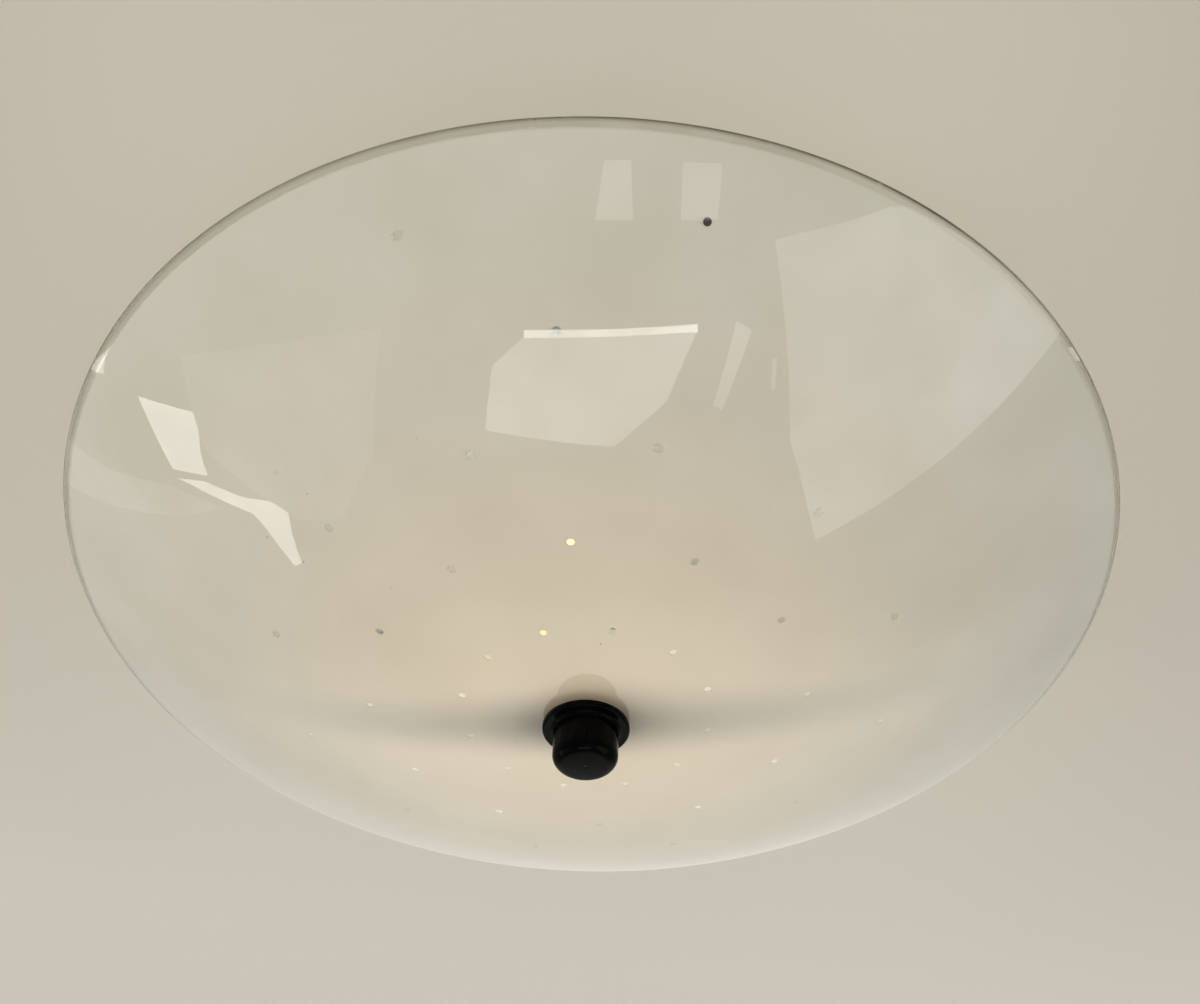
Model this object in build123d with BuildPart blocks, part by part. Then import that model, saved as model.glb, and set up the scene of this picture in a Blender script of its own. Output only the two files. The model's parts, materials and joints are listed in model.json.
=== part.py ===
from math import asin, cos, degrees, radians, sin, sqrt, tan
import os

from build123d import *

# Glass ceiling light: a shallow enamelled glass dish under three bulbs, held by one central knob.
# Millimetres, +Z up. The origin is the middle of the face that lies on the ceiling.

# Glass dish, a spherical cap
rim_radius = 225.0
dish_depth = 70.0  # from the rim's outer corner down to the lowest point of the glass
glass_thickness = 4.0
rim_drop = 36.0  # from the ceiling down to the rim's outer corner
rim_rounding = 0.8
glass_hole_radius = 6.6

# White enamel on the inner face, with clear dots and a clear margin
enamel_thickness = 0.3
enamel_gap = 0.05  # between the glass and the coat
enamel_margin = 3.0
enamel_hole_radius = 8.0
dot_diameter = 3.0
dot_first_ring = 50.5  # along the glass from its lowest point
dot_ring_step = 39.3  # along the glass
dots_round = 12  # places on a ring
full_rings = 3  # rings with a dot at each place

# Lamp thread M10 x 1: stem, nuts and bush
stem_radius = 5.0
stem_bore_radius = 3.4
stem_engagement = 13.5  # length of stem inside the finial
stem_top_room = 2.0  # from the plate down to the stem's upper end
thread_gap = 0.05
nut_across_flats = 17.0
lock_nut_height = 5.0
stop_nut_height = 6.0

# Glass clamp
seat_gap = 0.1  # between a gasket and the curved face that it lies on
slide_gap = 0.4  # between the stem and what slides along it
gasket_thickness = 2.0
gasket_radius = 17.0
spigot_gap = 0.15
spigot_short = 0.5
washer_thickness = 2.0
washer_radius = 19.0
lower_gasket_thickness = 1.5
lower_gasket_radius = 15.0

# Finial knob
finial_flange_radius = 17.5
finial_flange_thickness = 2.6
finial_body_radius = 13.0
finial_height = 19.5
finial_dome = 1.2
finial_edge_radius = 5.0
finial_neck_radius = 1.6
finial_rim_radius = 1.0
insert_radius = 7.0
insert_length = 15.0
insert_recess = 0.5

# Ceiling plate
plate_thickness = 3.0
plate_edge = 4.5  # metal left outside the cable bush
plate_chamfer = 0.6
slot_spacing = 100.0
slot_length = 14.0
slot_width = 5.0
cable_bore_radius = 4.0
cable_bush_wall = 3.0
cable_bush_lip = 2.5
cable_bush_lip_height = 2.0
earth_inset = 23.5  # from the plate's edge
earth_angle = 210.0

# Stem bush
bush_flange_radius = 18.5
bush_flange_thickness = 4.0
bush_hub_radius = 9.0
bush_hub_height = 11.0
bush_screw_circle = 14.0

# Pan-head screws M4
screw_radius = 2.0
screw_head_radius = 3.6
screw_head_height = 2.4
screw_slot_width = 1.0
screw_slot_depth = 1.2
screw_end_room = 0.4  # screw ends stay this far inside what they are driven into

# Three lamp arms bent from steel strip
arm_count = 3
arm_thickness = 2.5
arm_width = 20.0
arm_bush_gap = 7.5
arm_bend_radius = 3.0
arm_corner_radius = 6.0
arm_inner_screw_inset = 12.0  # from the strip's inner end
arm_outer_screw_inset = 11.5  # from the plate's edge
arm_tab_below = 17.0  # tab below the lamp axis
hole_gap = 0.15

# Lamp holders E27
holder_radius = 20.0
holder_skirt_radius = 18.2
holder_bead_radius = 19.2
holder_base_length = 24.0
holder_bead_length = 5.0
holder_edge_radius = 1.5
holder_bead_rounding = 0.5
holder_length = 56.0
holder_floor = 16.0
holder_screw_spread = 11.0
holder_screw_depth = 9.0
holder_dish_gap = 5.0
sleeve_radius = 15.0
sleeve_wall = 1.5
sleeve_collar_gap = 0.8  # between the sleeve's mouth and the bulb cap's collar
mouth_gap = 0.6  # between the holder's mouth and the bulb's neck
contact_radius = 5.0
contact_height = 4.0
contact_plate = 1.0

# Bulbs with an E27 cap
bulb_diameter = 60.0
bulb_length = 105.0
bulb_tip_radius = 26.0  # from the stem's axis to the bulb's tip
bulb_neck_radius = 14.0
bulb_wall = 1.0
bulb_contact_gap = 0.3
cap_radius = 13.1
cap_wall = 0.5
cap_thread_length = 18.0
cap_collar_length = 4.0
cap_offset = 3.5  # from the end contact to the cap's shell
cap_contact_radius = 4.5
cap_contact_height = 1.2
insulator_end_radius = 7.0

# Terminal block
block_width = 32.0
block_depth = 16.0
block_height = 15.0
block_corner_radius = 2.0
terminal_spacing = 16.0
terminal_bore = 3.6
terminal_wall = 1.0
terminal_short = 1.0  # sleeve ends lie this far inside the block
terminal_screw_radius = 1.75
terminal_screw_spread = 8.0
terminal_screw_sink = 0.8
terminal_screw_room = 0.5

# Leads held inside the light
wire_radius = 1.1
wire_gap = 0.2
wire_lane = 6.0  # to each side of an arm's middle
wire_level_step = 2.4
wire_spread_step = 3.2
wire_sag = 0.6
wire_into_block = 10.0
wire_exit_run = 1.0
wire_turn_run = 10.0  # from the block to the turn towards the arms
wire_bush_gap = 7.5
wire_arm_lead = 4.0  # from the strip's inner end to where a lead meets it
wire_entry_setback = 8.0
wire_entry_depth = 10.0
wire_largest_bend = 14.0
wire_stem_gap = 1.6
wire_run_share = 0.45  # of the shorter run, taken by a bend
strap_position = 92.0
strap_length = 8.0
strap_thickness = 1.0

# Sphere that the dish is cut from
sphere_radius = (rim_radius**2 + dish_depth**2) / (2 * dish_depth)
inner_radius = sphere_radius - glass_thickness
enamel_radius = inner_radius - enamel_gap
coat_radius = enamel_radius - enamel_thickness
pole_z = -rim_drop - dish_depth
sphere_z = pole_z + sphere_radius
rim_angle = degrees(asin(rim_radius / sphere_radius))


def height_on(radius, distance):
    """Height of a sphere about the dish's centre, at a distance from the stem's axis."""
    return sphere_z - sqrt(radius**2 - distance**2)


def angle_on(radius, distance):
    """Angle from straight down to the point of that sphere at a distance from the axis."""
    return degrees(asin(distance / radius))


def cap_arc(radius, start_angle, end_angle):
    """Arc of the dish's section, with its angles counted from straight down."""
    return CenterArc((0, sphere_z), radius, start_angle - 90, end_angle - start_angle)


def pan_screw(seat, length):
    """Slotted pan-head screw whose shank runs along the seat plane's normal."""
    with BuildPart(seat) as screw:
        with BuildSketch(seat):
            Circle(screw_radius)
        extrude(amount=length)
        with BuildSketch(seat):
            Circle(screw_head_radius)
        extrude(amount=-screw_head_height)
        rounded = screw.edges().filter_by(GeomType.CIRCLE).sort_by(SortBy.RADIUS)[-2:]
        fillet(rounded.sort_by_distance(seat.offset(-screw_head_height).origin)[0], screw_head_height / 3)
        with BuildSketch(seat.offset(-screw_head_height)):
            Rectangle(2 * screw_head_radius, screw_slot_width)
        extrude(amount=screw_slot_depth, mode=Mode.SUBTRACT)
    return screw.part


def hex_nut(top_z, height):
    """Hexagon nut on the stem, hanging down from a height."""
    with BuildPart() as nut:
        with BuildSketch(Plane.XY.offset(top_z)):
            RegularPolygon(nut_across_flats / 2, 6, major_radius=False)
            Circle(stem_radius + thread_gap, mode=Mode.SUBTRACT)
        extrude(amount=-height)
    return nut.part


# Heights of the clamp that holds the glass
coat_pole_z = height_on(coat_radius, 0)
gasket_top_z = coat_pole_z + seat_gap + gasket_thickness
washer_top_z = gasket_top_z + washer_thickness
stop_nut_top_z = washer_top_z + stop_nut_height
finial_top_z = pole_z - seat_gap - lower_gasket_thickness
finial_bottom_z = finial_top_z - finial_height
stem_bottom_z = finial_top_z - stem_engagement

# Heights under the ceiling plate
plate_bottom_z = -plate_thickness
bush_flange_z = plate_bottom_z - bush_flange_thickness
bush_bottom_z = bush_flange_z - bush_hub_height
stem_top_z = plate_bottom_z - stem_top_room
arm_bottom_z = plate_bottom_z - arm_thickness

# Places on the ceiling plate, outwards from the bush
arm_start = bush_flange_radius + arm_bush_gap
arm_inner_screw = arm_start + arm_inner_screw_inset
wire_turn_y = bush_flange_radius + wire_bush_gap
block_start = wire_turn_y + wire_turn_run
block_middle_y = block_start + block_depth / 2
cable_hole_radius = cable_bore_radius + cable_bush_wall
cable_lip_radius = cable_hole_radius + cable_bush_lip
cable_y = block_start + block_depth + cable_lip_radius
plate_radius = cable_y + cable_lip_radius + plate_edge
arm_outer_screw = plate_radius - arm_outer_screw_inset
earth_radius = plate_radius - earth_inset
terminal_z = plate_bottom_z - block_height / 2

# Lamp axis, which lies along -Y for the first arm and points from its tab to the stem
contact_setback = holder_floor + contact_height + bulb_contact_gap
tab_radius = bulb_tip_radius + bulb_length + contact_setback
tab_outer_radius = tab_radius + arm_thickness
lamp_z = height_on(coat_radius, tab_outer_radius) + holder_dish_gap + holder_radius
lamp_plane = Plane(origin=(0, -tab_radius, lamp_z), x_dir=(0, 1, 0), z_dir=(1, 0, 0))
lamp_axis = Axis((0, -tab_radius, lamp_z), (0, 1, 0))
lamp_pieces = {}

# Places along the lamp axis, counted from the tab
cap_start = contact_setback + cap_offset
collar_start = cap_start + cap_thread_length
sleeve_end = collar_start - sleeve_collar_gap
cap_end = collar_start + cap_collar_length
neck_start = collar_start + cap_wall
bulb_tip = contact_setback + bulb_length

# The bulb is a ball, blended into a straight neck by an arc that touches both
ball_radius = bulb_diameter / 2
ball_middle = bulb_tip - ball_radius
blend_run = ball_middle - cap_end
blend_radius = (blend_run**2 + bulb_neck_radius**2 - ball_radius**2) / (2 * (ball_radius - bulb_neck_radius))
blend_turn = degrees(asin(blend_run / (ball_radius + blend_radius)))
blend_middle = (cap_end, bulb_neck_radius + blend_radius)
neck_at_mouth = blend_middle[1] - sqrt(blend_radius**2 - (holder_length - cap_end) ** 2)

os.makedirs("parts", exist_ok=True)

# Glass dish
with BuildPart() as glass_dish:
    with BuildSketch(Plane.XZ) as dish_section:
        with BuildLine():
            outer = cap_arc(sphere_radius, angle_on(sphere_radius, glass_hole_radius), rim_angle)
            inner = cap_arc(inner_radius, angle_on(inner_radius, glass_hole_radius), rim_angle)
            Line(outer @ 1, inner @ 1)
            Line(outer @ 0, inner @ 0)
        make_face()
        fillet(dish_section.vertices().sort_by(Axis.X)[-2:], rim_rounding)
    revolve(axis=Axis.Z)
glass_dish.part.label = "glass_dish"
export_step(glass_dish.part, "parts/glass_dish.step")

# Clear dots: rings each half a place out of line with the next, and three more dots outside them on one side
ring_places = [[place - 0.5 * (ring % 2 == 0) for place in range(dots_round)] for ring in range(full_rings)]
ring_places += [(0,), (-0.5, 0.5)]
dot_planes = []
for ring, places in enumerate(ring_places):
    tilt = (dot_first_ring + ring * dot_ring_step) / inner_radius
    for place in places:
        turn = radians(360 * place / dots_round - 90)
        normal = Vector(sin(tilt) * cos(turn), sin(tilt) * sin(turn), -cos(tilt))
        dot_planes.append(Plane(Vector(0, 0, sphere_z) + normal * inner_radius, z_dir=normal))

# Enamel coat on the dish's inner face
with BuildPart() as enamel_coat:
    with BuildSketch(Plane.XZ):
        with BuildLine():
            enamel_end = rim_angle - degrees(enamel_margin / inner_radius)
            outer = cap_arc(enamel_radius, angle_on(enamel_radius, enamel_hole_radius), enamel_end)
            inner = cap_arc(coat_radius, angle_on(coat_radius, enamel_hole_radius), enamel_end)
            Line(outer @ 1, inner @ 1)
            Line(outer @ 0, inner @ 0)
        make_face()
    revolve(axis=Axis.Z)
    with Locations(*dot_planes):
        Cylinder(dot_diameter / 2, 4 * enamel_thickness, mode=Mode.SUBTRACT)
enamel_coat.part.label = "enamel_coat"
export_step(enamel_coat.part, "parts/enamel_coat.step")

# Upper gasket, with a spigot that centres the glass on the stem
with BuildPart() as upper_gasket:
    with BuildSketch(Plane.XZ):
        with BuildLine():
            face_radius = coat_radius - seat_gap
            spigot_radius = glass_hole_radius - spigot_gap
            spigot_end_z = pole_z + spigot_short
            gasket_bore = stem_radius + slide_gap
            seat_start = angle_on(face_radius, spigot_radius)
            seat = cap_arc(face_radius, seat_start, angle_on(face_radius, gasket_radius))
            Polyline(
                seat @ 1,
                (gasket_radius, gasket_top_z),
                (gasket_bore, gasket_top_z),
                (gasket_bore, spigot_end_z),
                (spigot_radius, spigot_end_z),
                seat @ 0,
            )
        make_face()
    revolve(axis=Axis.Z)
upper_gasket.part.label = "upper_gasket"
export_step(upper_gasket.part, "parts/upper_gasket.step")

# Lower gasket, between the glass and the finial's flange
with BuildPart() as lower_gasket:
    with BuildSketch(Plane.XZ):
        with BuildLine():
            face_radius = sphere_radius + seat_gap
            seat_start = angle_on(face_radius, gasket_bore)
            seat = cap_arc(face_radius, seat_start, angle_on(face_radius, lower_gasket_radius))
            Polyline(
                seat @ 1,
                (lower_gasket_radius, finial_top_z),
                (gasket_bore, finial_top_z),
                seat @ 0,
            )
        make_face()
    revolve(axis=Axis.Z)
lower_gasket.part.label = "lower_gasket"
export_step(lower_gasket.part, "parts/lower_gasket.step")

# Washer and stop nut above the glass
with BuildPart() as clamp_washer:
    with BuildSketch(Plane.XY.offset(gasket_top_z)):
        Circle(washer_radius)
        Circle(stem_radius + hole_gap, mode=Mode.SUBTRACT)
    extrude(amount=washer_thickness)
clamp_washer.part.label = "clamp_washer"
export_step(clamp_washer.part, "parts/clamp_washer.step")

stop_nut = hex_nut(stop_nut_top_z, stop_nut_height)
stop_nut.label = "stop_nut"
export_step(stop_nut, "parts/stop_nut.step")

# Finial knob
with BuildPart() as finial_knob:
    with BuildSketch(Plane.XZ) as finial_section:
        with BuildLine():
            flange_z = finial_top_z - finial_flange_thickness
            pocket_radius = insert_radius + thread_gap
            pocket_z = finial_top_z - insert_recess - insert_length - insert_recess
            dome_radius = (finial_body_radius**2 + finial_dome**2) / (2 * finial_dome)
            dome_angle = degrees(asin(finial_body_radius / dome_radius))
            dome = CenterArc((0, finial_bottom_z + dome_radius), dome_radius, -90, dome_angle)
            Polyline(
                dome @ 1,
                (finial_body_radius, flange_z),
                (finial_flange_radius, flange_z),
                (finial_flange_radius, finial_top_z),
                (pocket_radius, finial_top_z),
                (pocket_radius, pocket_z),
                (0, pocket_z),
                (0, finial_bottom_z),
            )
        make_face()
        for corner, rounding in (
            ((finial_body_radius, finial_bottom_z + finial_dome), finial_edge_radius),
            ((finial_body_radius, flange_z), finial_neck_radius),
            ((finial_flange_radius, flange_z), finial_rim_radius),
        ):
            fillet(finial_section.vertices().sort_by_distance(corner)[0], rounding)
    revolve(axis=Axis.Z)
finial_knob.part.label = "finial_knob"
export_step(finial_knob.part, "parts/finial_knob.step")

# Threaded brass insert in the finial
with BuildPart() as finial_insert:
    with BuildSketch(Plane.XY.offset(finial_top_z - insert_recess)):
        Circle(insert_radius)
        Circle(stem_radius + thread_gap, mode=Mode.SUBTRACT)
    extrude(amount=-insert_length)
finial_insert.part.label = "finial_insert"
export_step(finial_insert.part, "parts/finial_insert.step")

# Ceiling plate
with BuildPart() as ceiling_plate:
    with BuildSketch():
        Circle(plate_radius)
        with GridLocations(slot_spacing, 0, 2, 1):
            SlotOverall(slot_length, slot_width, mode=Mode.SUBTRACT)
        with Locations((0, cable_y)):
            Circle(cable_hole_radius, mode=Mode.SUBTRACT)
        with PolarLocations(arm_inner_screw, arm_count, start_angle=-90):
            Circle(screw_radius + thread_gap, mode=Mode.SUBTRACT)
        with PolarLocations(arm_outer_screw, arm_count, start_angle=-90):
            Circle(screw_radius + thread_gap, mode=Mode.SUBTRACT)
        with PolarLocations(bush_screw_circle, arm_count, start_angle=90):
            Circle(screw_radius + thread_gap, mode=Mode.SUBTRACT)
        with Locations((0, block_middle_y)):
            Circle(screw_radius + thread_gap, mode=Mode.SUBTRACT)
        with PolarLocations(earth_radius, 1, start_angle=earth_angle):
            Circle(screw_radius + thread_gap, mode=Mode.SUBTRACT)
    extrude(amount=-plate_thickness)
    outside = ceiling_plate.edges().filter_by(GeomType.CIRCLE).sort_by(SortBy.RADIUS)[-2:]
    chamfer(outside.sort_by(Axis.Z)[0], plate_chamfer)
ceiling_plate.part.label = "ceiling_plate"
export_step(ceiling_plate.part, "parts/ceiling_plate.step")

# Rubber bush that the house cable comes through
with BuildPart() as cable_bush:
    with BuildSketch():
        with Locations((0, cable_y)):
            Circle(cable_hole_radius)
            Circle(cable_bore_radius, mode=Mode.SUBTRACT)
    extrude(amount=-plate_thickness - cable_bush_lip_height)
    with BuildSketch(Plane.XY.offset(plate_bottom_z)):
        with Locations((0, cable_y)):
            Circle(cable_lip_radius)
            Circle(cable_bore_radius, mode=Mode.SUBTRACT)
    extrude(amount=-cable_bush_lip_height)
cable_bush.part.label = "cable_bush"
export_step(cable_bush.part, "parts/cable_bush.step")

# Flanged bush that the stem is screwed into
with BuildPart() as stem_bush:
    with BuildSketch(Plane.XY.offset(plate_bottom_z)):
        Circle(bush_flange_radius)
        with PolarLocations(bush_screw_circle, arm_count, start_angle=90):
            Circle(screw_radius + hole_gap, mode=Mode.SUBTRACT)
    extrude(amount=-bush_flange_thickness)
    with BuildSketch(Plane.XY.offset(bush_flange_z)):
        Circle(bush_hub_radius)
    extrude(amount=-bush_hub_height)
    with BuildSketch(Plane.XY.offset(bush_bottom_z)):
        Circle(stem_radius + thread_gap)
    extrude(amount=stem_top_z - bush_bottom_z + thread_gap, mode=Mode.SUBTRACT)
stem_bush.part.label = "stem_bush"
export_step(stem_bush.part, "parts/stem_bush.step")

# Threaded tube, from the bush down into the finial
with BuildPart() as stem_tube:
    with BuildSketch(Plane.XY.offset(stem_top_z)):
        Circle(stem_radius)
        Circle(stem_bore_radius, mode=Mode.SUBTRACT)
    extrude(amount=stem_bottom_z - stem_top_z)
stem_tube.part.label = "stem_tube"
export_step(stem_tube.part, "parts/stem_tube.step")

stem_lock_nut = hex_nut(bush_bottom_z, lock_nut_height)
stem_lock_nut.label = "stem_lock_nut"
export_step(stem_lock_nut, "parts/stem_lock_nut.step")

# Lamp arm, a strip with its end bent down into a tab
with BuildPart() as holder_arm:
    tab_bottom_z = lamp_z - arm_tab_below
    with BuildSketch(Plane.YZ):
        with BuildLine():
            FilletPolyline(
                (-arm_start, plate_bottom_z),
                (-tab_outer_radius, plate_bottom_z),
                (-tab_outer_radius, tab_bottom_z),
                (-tab_radius, tab_bottom_z),
                (-tab_radius, arm_bottom_z),
                (-arm_start, arm_bottom_z),
                radius=[0, arm_bend_radius + arm_thickness, 0, 0, arm_bend_radius, 0],
                close=True,
            )
        make_face()
    extrude(amount=arm_width / 2, both=True)
    fillet(holder_arm.edges().filter_by(Axis.Z).group_by(Axis.Y)[-1], arm_corner_radius)
    fillet(holder_arm.edges().filter_by(Axis.Y).group_by(Axis.Z)[0], arm_corner_radius)
    with Locations((0, -arm_inner_screw, plate_bottom_z), (0, -arm_outer_screw, plate_bottom_z)):
        Hole(screw_radius + hole_gap, depth=arm_thickness)
    for side in (-1, 1):
        with Locations(Plane((0, -tab_radius, lamp_z + side * holder_screw_spread), z_dir=(0, 1, 0))):
            Hole(screw_radius + hole_gap, depth=arm_thickness)
lamp_pieces["holder_arm"] = holder_arm.part

# Lamp holder body
with BuildPart() as holder_body:
    bead_start = holder_length - holder_bead_length
    skirt_start = holder_base_length + holder_radius - holder_skirt_radius
    cavity_radius = sleeve_radius + thread_gap
    mouth_radius = neck_at_mouth + mouth_gap
    edge = holder_edge_radius
    bead = holder_bead_rounding
    with BuildSketch(lamp_plane):
        with BuildLine():
            FilletPolyline(
                (0, 0),
                (0, holder_radius),
                (holder_base_length, holder_radius),
                (skirt_start, holder_skirt_radius),
                (bead_start, holder_skirt_radius),
                (bead_start, holder_bead_radius),
                (holder_length, holder_bead_radius),
                (holder_length, mouth_radius),
                (sleeve_end, cavity_radius),
                (holder_floor, cavity_radius),
                (holder_floor, 0),
                radius=[0, edge, edge, 0, 0, bead, bead, bead, 0, 0, 0],
                close=True,
            )
        make_face()
    revolve(axis=lamp_axis)
    for side in (-1, 1):
        with Locations((side * wire_lane, wire_entry_setback - tab_radius, lamp_z + holder_radius)):
            Hole(wire_radius + hole_gap, depth=wire_entry_depth + hole_gap)
        with Locations(Plane((0, -tab_radius, lamp_z + side * holder_screw_spread), z_dir=(0, -1, 0))):
            Hole(screw_radius + thread_gap, depth=holder_screw_depth + screw_end_room)
lamp_pieces["holder_body"] = holder_body.part

# Threaded sleeve and spring contact of the holder
with BuildPart() as holder_sleeve:
    with BuildSketch(lamp_plane):
        with Locations((holder_floor, sleeve_radius - sleeve_wall)):
            Rectangle(sleeve_end - holder_floor, sleeve_wall, align=(Align.MIN, Align.MIN))
    revolve(axis=lamp_axis)
lamp_pieces["holder_sleeve"] = holder_sleeve.part

with BuildPart() as holder_contact:
    with BuildSketch(lamp_plane):
        with BuildLine():
            Polyline(
                (holder_floor, 0),
                (holder_floor, contact_radius),
                (holder_floor + contact_plate, contact_radius),
                (holder_floor + contact_height, contact_radius / 2),
                (holder_floor + contact_height, 0),
                close=True,
            )
        make_face()
    revolve(axis=lamp_axis)
lamp_pieces["holder_contact"] = holder_contact.part

# Bulb
with BuildPart() as bulb_glass:
    with BuildSketch(lamp_plane):
        with BuildLine():
            for wall in (0, bulb_wall):
                Line((neck_start, bulb_neck_radius - wall), (cap_end, bulb_neck_radius - wall))
                CenterArc(blend_middle, blend_radius + wall, -90, blend_turn)
                CenterArc((ball_middle, 0), ball_radius - wall, 0, 90 + blend_turn)
            Line((neck_start, bulb_neck_radius), (neck_start, bulb_neck_radius - bulb_wall))
            Line((bulb_tip, 0), (bulb_tip - bulb_wall, 0))
        make_face()
    revolve(axis=lamp_axis)
lamp_pieces["bulb_glass"] = bulb_glass.part

# Screw cap, with a collar round the neck
with BuildPart() as bulb_cap:
    collar_radius = bulb_neck_radius + thread_gap + cap_wall
    with BuildSketch(lamp_plane):
        with BuildLine():
            Polyline(
                (cap_start, cap_radius - cap_wall),
                (cap_start, cap_radius),
                (collar_start, cap_radius),
                (collar_start, collar_radius),
                (cap_end, collar_radius),
                (cap_end, collar_radius - cap_wall),
                (collar_start + cap_wall - thread_gap, collar_radius - cap_wall),
                (collar_start + cap_wall - thread_gap, cap_radius - cap_wall),
                close=True,
            )
        make_face()
    revolve(axis=lamp_axis)
lamp_pieces["bulb_cap"] = bulb_cap.part

# Black glass insulator and end contact of the cap
with BuildPart() as bulb_insulator:
    plug_radius = cap_radius - cap_wall - thread_gap
    contact_end = contact_setback + cap_contact_height
    with BuildSketch(lamp_plane):
        with BuildLine():
            Polyline(
                (contact_end, 0),
                (contact_end, insulator_end_radius),
                (cap_start, plug_radius),
                (cap_start + cap_offset, plug_radius),
                (cap_start + cap_offset, 0),
                close=True,
            )
        make_face()
    revolve(axis=lamp_axis)
lamp_pieces["bulb_insulator"] = bulb_insulator.part

with BuildPart() as bulb_contact:
    with BuildSketch(lamp_plane):
        with Locations((contact_setback, 0)):
            Rectangle(cap_contact_height, cap_contact_radius, align=(Align.MIN, Align.MIN))
    revolve(axis=lamp_axis)
    ends = bulb_contact.edges().filter_by(GeomType.CIRCLE).sort_by(Axis.Y)
    fillet(ends[0], cap_contact_height / 2)
lamp_pieces["bulb_contact"] = bulb_contact.part

# The same lamp pieces at each arm
for arm in range(arm_count):
    for name, piece in lamp_pieces.items():
        placed = piece.moved(Location((0, 0, 0), (0, 0, arm * 360 / arm_count)))
        placed.label = f"{name}_{arm + 1}"
        export_step(placed, f"parts/{name}_{arm + 1}.step")

# Screws, each kind as a group of separate solids
arm_screw = pan_screw(Plane((0, 0, arm_bottom_z)), -arm_bottom_z - screw_end_room)
with BuildPart() as arm_screws:
    with PolarLocations(arm_inner_screw, arm_count, start_angle=-90):
        add(arm_screw)
    with PolarLocations(arm_outer_screw, arm_count, start_angle=-90):
        add(arm_screw)
arm_screws.part.label = "arm_screws"
export_step(arm_screws.part, "parts/arm_screws.step")

bush_screw = pan_screw(Plane((0, 0, bush_flange_z)), -bush_flange_z - screw_end_room)
with BuildPart() as bush_screws:
    with PolarLocations(bush_screw_circle, arm_count, start_angle=90):
        add(bush_screw)
bush_screws.part.label = "bush_screws"
export_step(bush_screws.part, "parts/bush_screws.step")

tab_screws = []
for side in (-1, 1):
    seat = Plane((0, -tab_outer_radius, lamp_z + side * holder_screw_spread), z_dir=(0, 1, 0))
    tab_screws.append(pan_screw(seat, arm_thickness + holder_screw_depth))
with BuildPart() as holder_screws:
    with PolarLocations(0, arm_count):
        add(tab_screws)
holder_screws.part.label = "holder_screws"
export_step(holder_screws.part, "parts/holder_screws.step")

earth_place = Location((0, 0, 0), (0, 0, earth_angle)) * Location((earth_radius, 0, plate_bottom_z))
earth_screw = pan_screw(Plane(earth_place), plate_thickness - screw_end_room)
earth_screw.label = "earth_screw"
export_step(earth_screw, "parts/earth_screw.step")

# Terminal block under the plate
sleeve_outer = terminal_bore + terminal_wall
block_bottom_z = plate_bottom_z - block_height
terminal_xs = (-terminal_spacing / 2, terminal_spacing / 2)
screw_ys = (block_middle_y - terminal_screw_spread / 2, block_middle_y + terminal_screw_spread / 2)
block_screw_sink = screw_head_height + screw_end_room
with BuildPart() as terminal_block:
    with BuildSketch(Plane.XY.offset(plate_bottom_z)):
        with Locations((0, block_middle_y)):
            RectangleRounded(block_width, block_depth, block_corner_radius)
    extrude(amount=-block_height)
    for x in terminal_xs:
        with Locations(Plane((x, block_start + block_depth, terminal_z), z_dir=(0, 1, 0))):
            Hole(sleeve_outer + thread_gap)
        for y in screw_ys:
            with Locations(Plane((x, y, block_bottom_z), z_dir=(0, 0, -1))):
                Hole(terminal_screw_radius + terminal_screw_room, depth=block_height / 2)
    with Locations(Plane((0, block_middle_y, block_bottom_z), z_dir=(0, 0, -1))):
        CounterBoreHole(screw_radius + hole_gap, screw_head_radius + hole_gap, block_screw_sink)
terminal_block.part.label = "terminal_block"
export_step(terminal_block.part, "parts/terminal_block.step")

fixing_seat = Plane((0, block_middle_y, block_bottom_z + block_screw_sink))
fixing_length = block_height - block_screw_sink + plate_thickness - screw_end_room
terminal_fixing_screw = pan_screw(fixing_seat, fixing_length)
terminal_fixing_screw.label = "terminal_fixing_screw"
export_step(terminal_fixing_screw, "parts/terminal_fixing_screw.step")

with BuildPart() as terminal_sleeves:
    for x in terminal_xs:
        with BuildSketch(Plane((x, block_start + terminal_short, terminal_z), z_dir=(0, 1, 0))):
            Circle(sleeve_outer)
            Circle(terminal_bore, mode=Mode.SUBTRACT)
        extrude(amount=block_depth - 2 * terminal_short)
        for y in screw_ys:
            with Locations(Plane((x, y, terminal_z - sleeve_outer), z_dir=(0, 0, -1))):
                Hole(terminal_screw_radius + thread_gap, depth=sleeve_outer)
terminal_sleeves.part.label = "terminal_sleeves"
export_step(terminal_sleeves.part, "parts/terminal_sleeves.step")

with BuildPart() as terminal_screws:
    with BuildSketch(Plane.XY.offset(block_bottom_z + terminal_screw_sink)):
        for x in terminal_xs:
            with Locations(*[(x, y) for y in screw_ys]):
                Circle(terminal_screw_radius)
    extrude(amount=terminal_z - terminal_bore - screw_end_room - block_bottom_z - terminal_screw_sink)
    with BuildSketch(Plane.XY.offset(block_bottom_z + terminal_screw_sink)):
        for x in terminal_xs:
            with Locations(*[(x, y) for y in screw_ys]):
                Rectangle(2 * terminal_screw_radius, screw_slot_width)
    extrude(amount=screw_slot_depth, mode=Mode.SUBTRACT)
terminal_screws.part.label = "terminal_screws"
export_step(terminal_screws.part, "parts/terminal_screws.step")

# Leads from the block along the arms' undersides and down into the holders
wire_z = arm_bottom_z - wire_gap - wire_radius
wire_end_z = lamp_z + holder_radius - wire_entry_depth
wire_entry_radius = tab_radius - wire_entry_setback
stem_pass = max(nut_across_flats / sqrt(3), bush_hub_radius) + wire_stem_gap + wire_radius


def on_arm(arm, lane, distance, height):
    """Point beside an arm's middle line, at a distance from the stem's axis."""
    turn = radians(arm * 360 / arm_count - 90)
    return Vector(
        distance * cos(turn) - lane * sin(turn),
        distance * sin(turn) + lane * cos(turn),
        height,
    )


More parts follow.
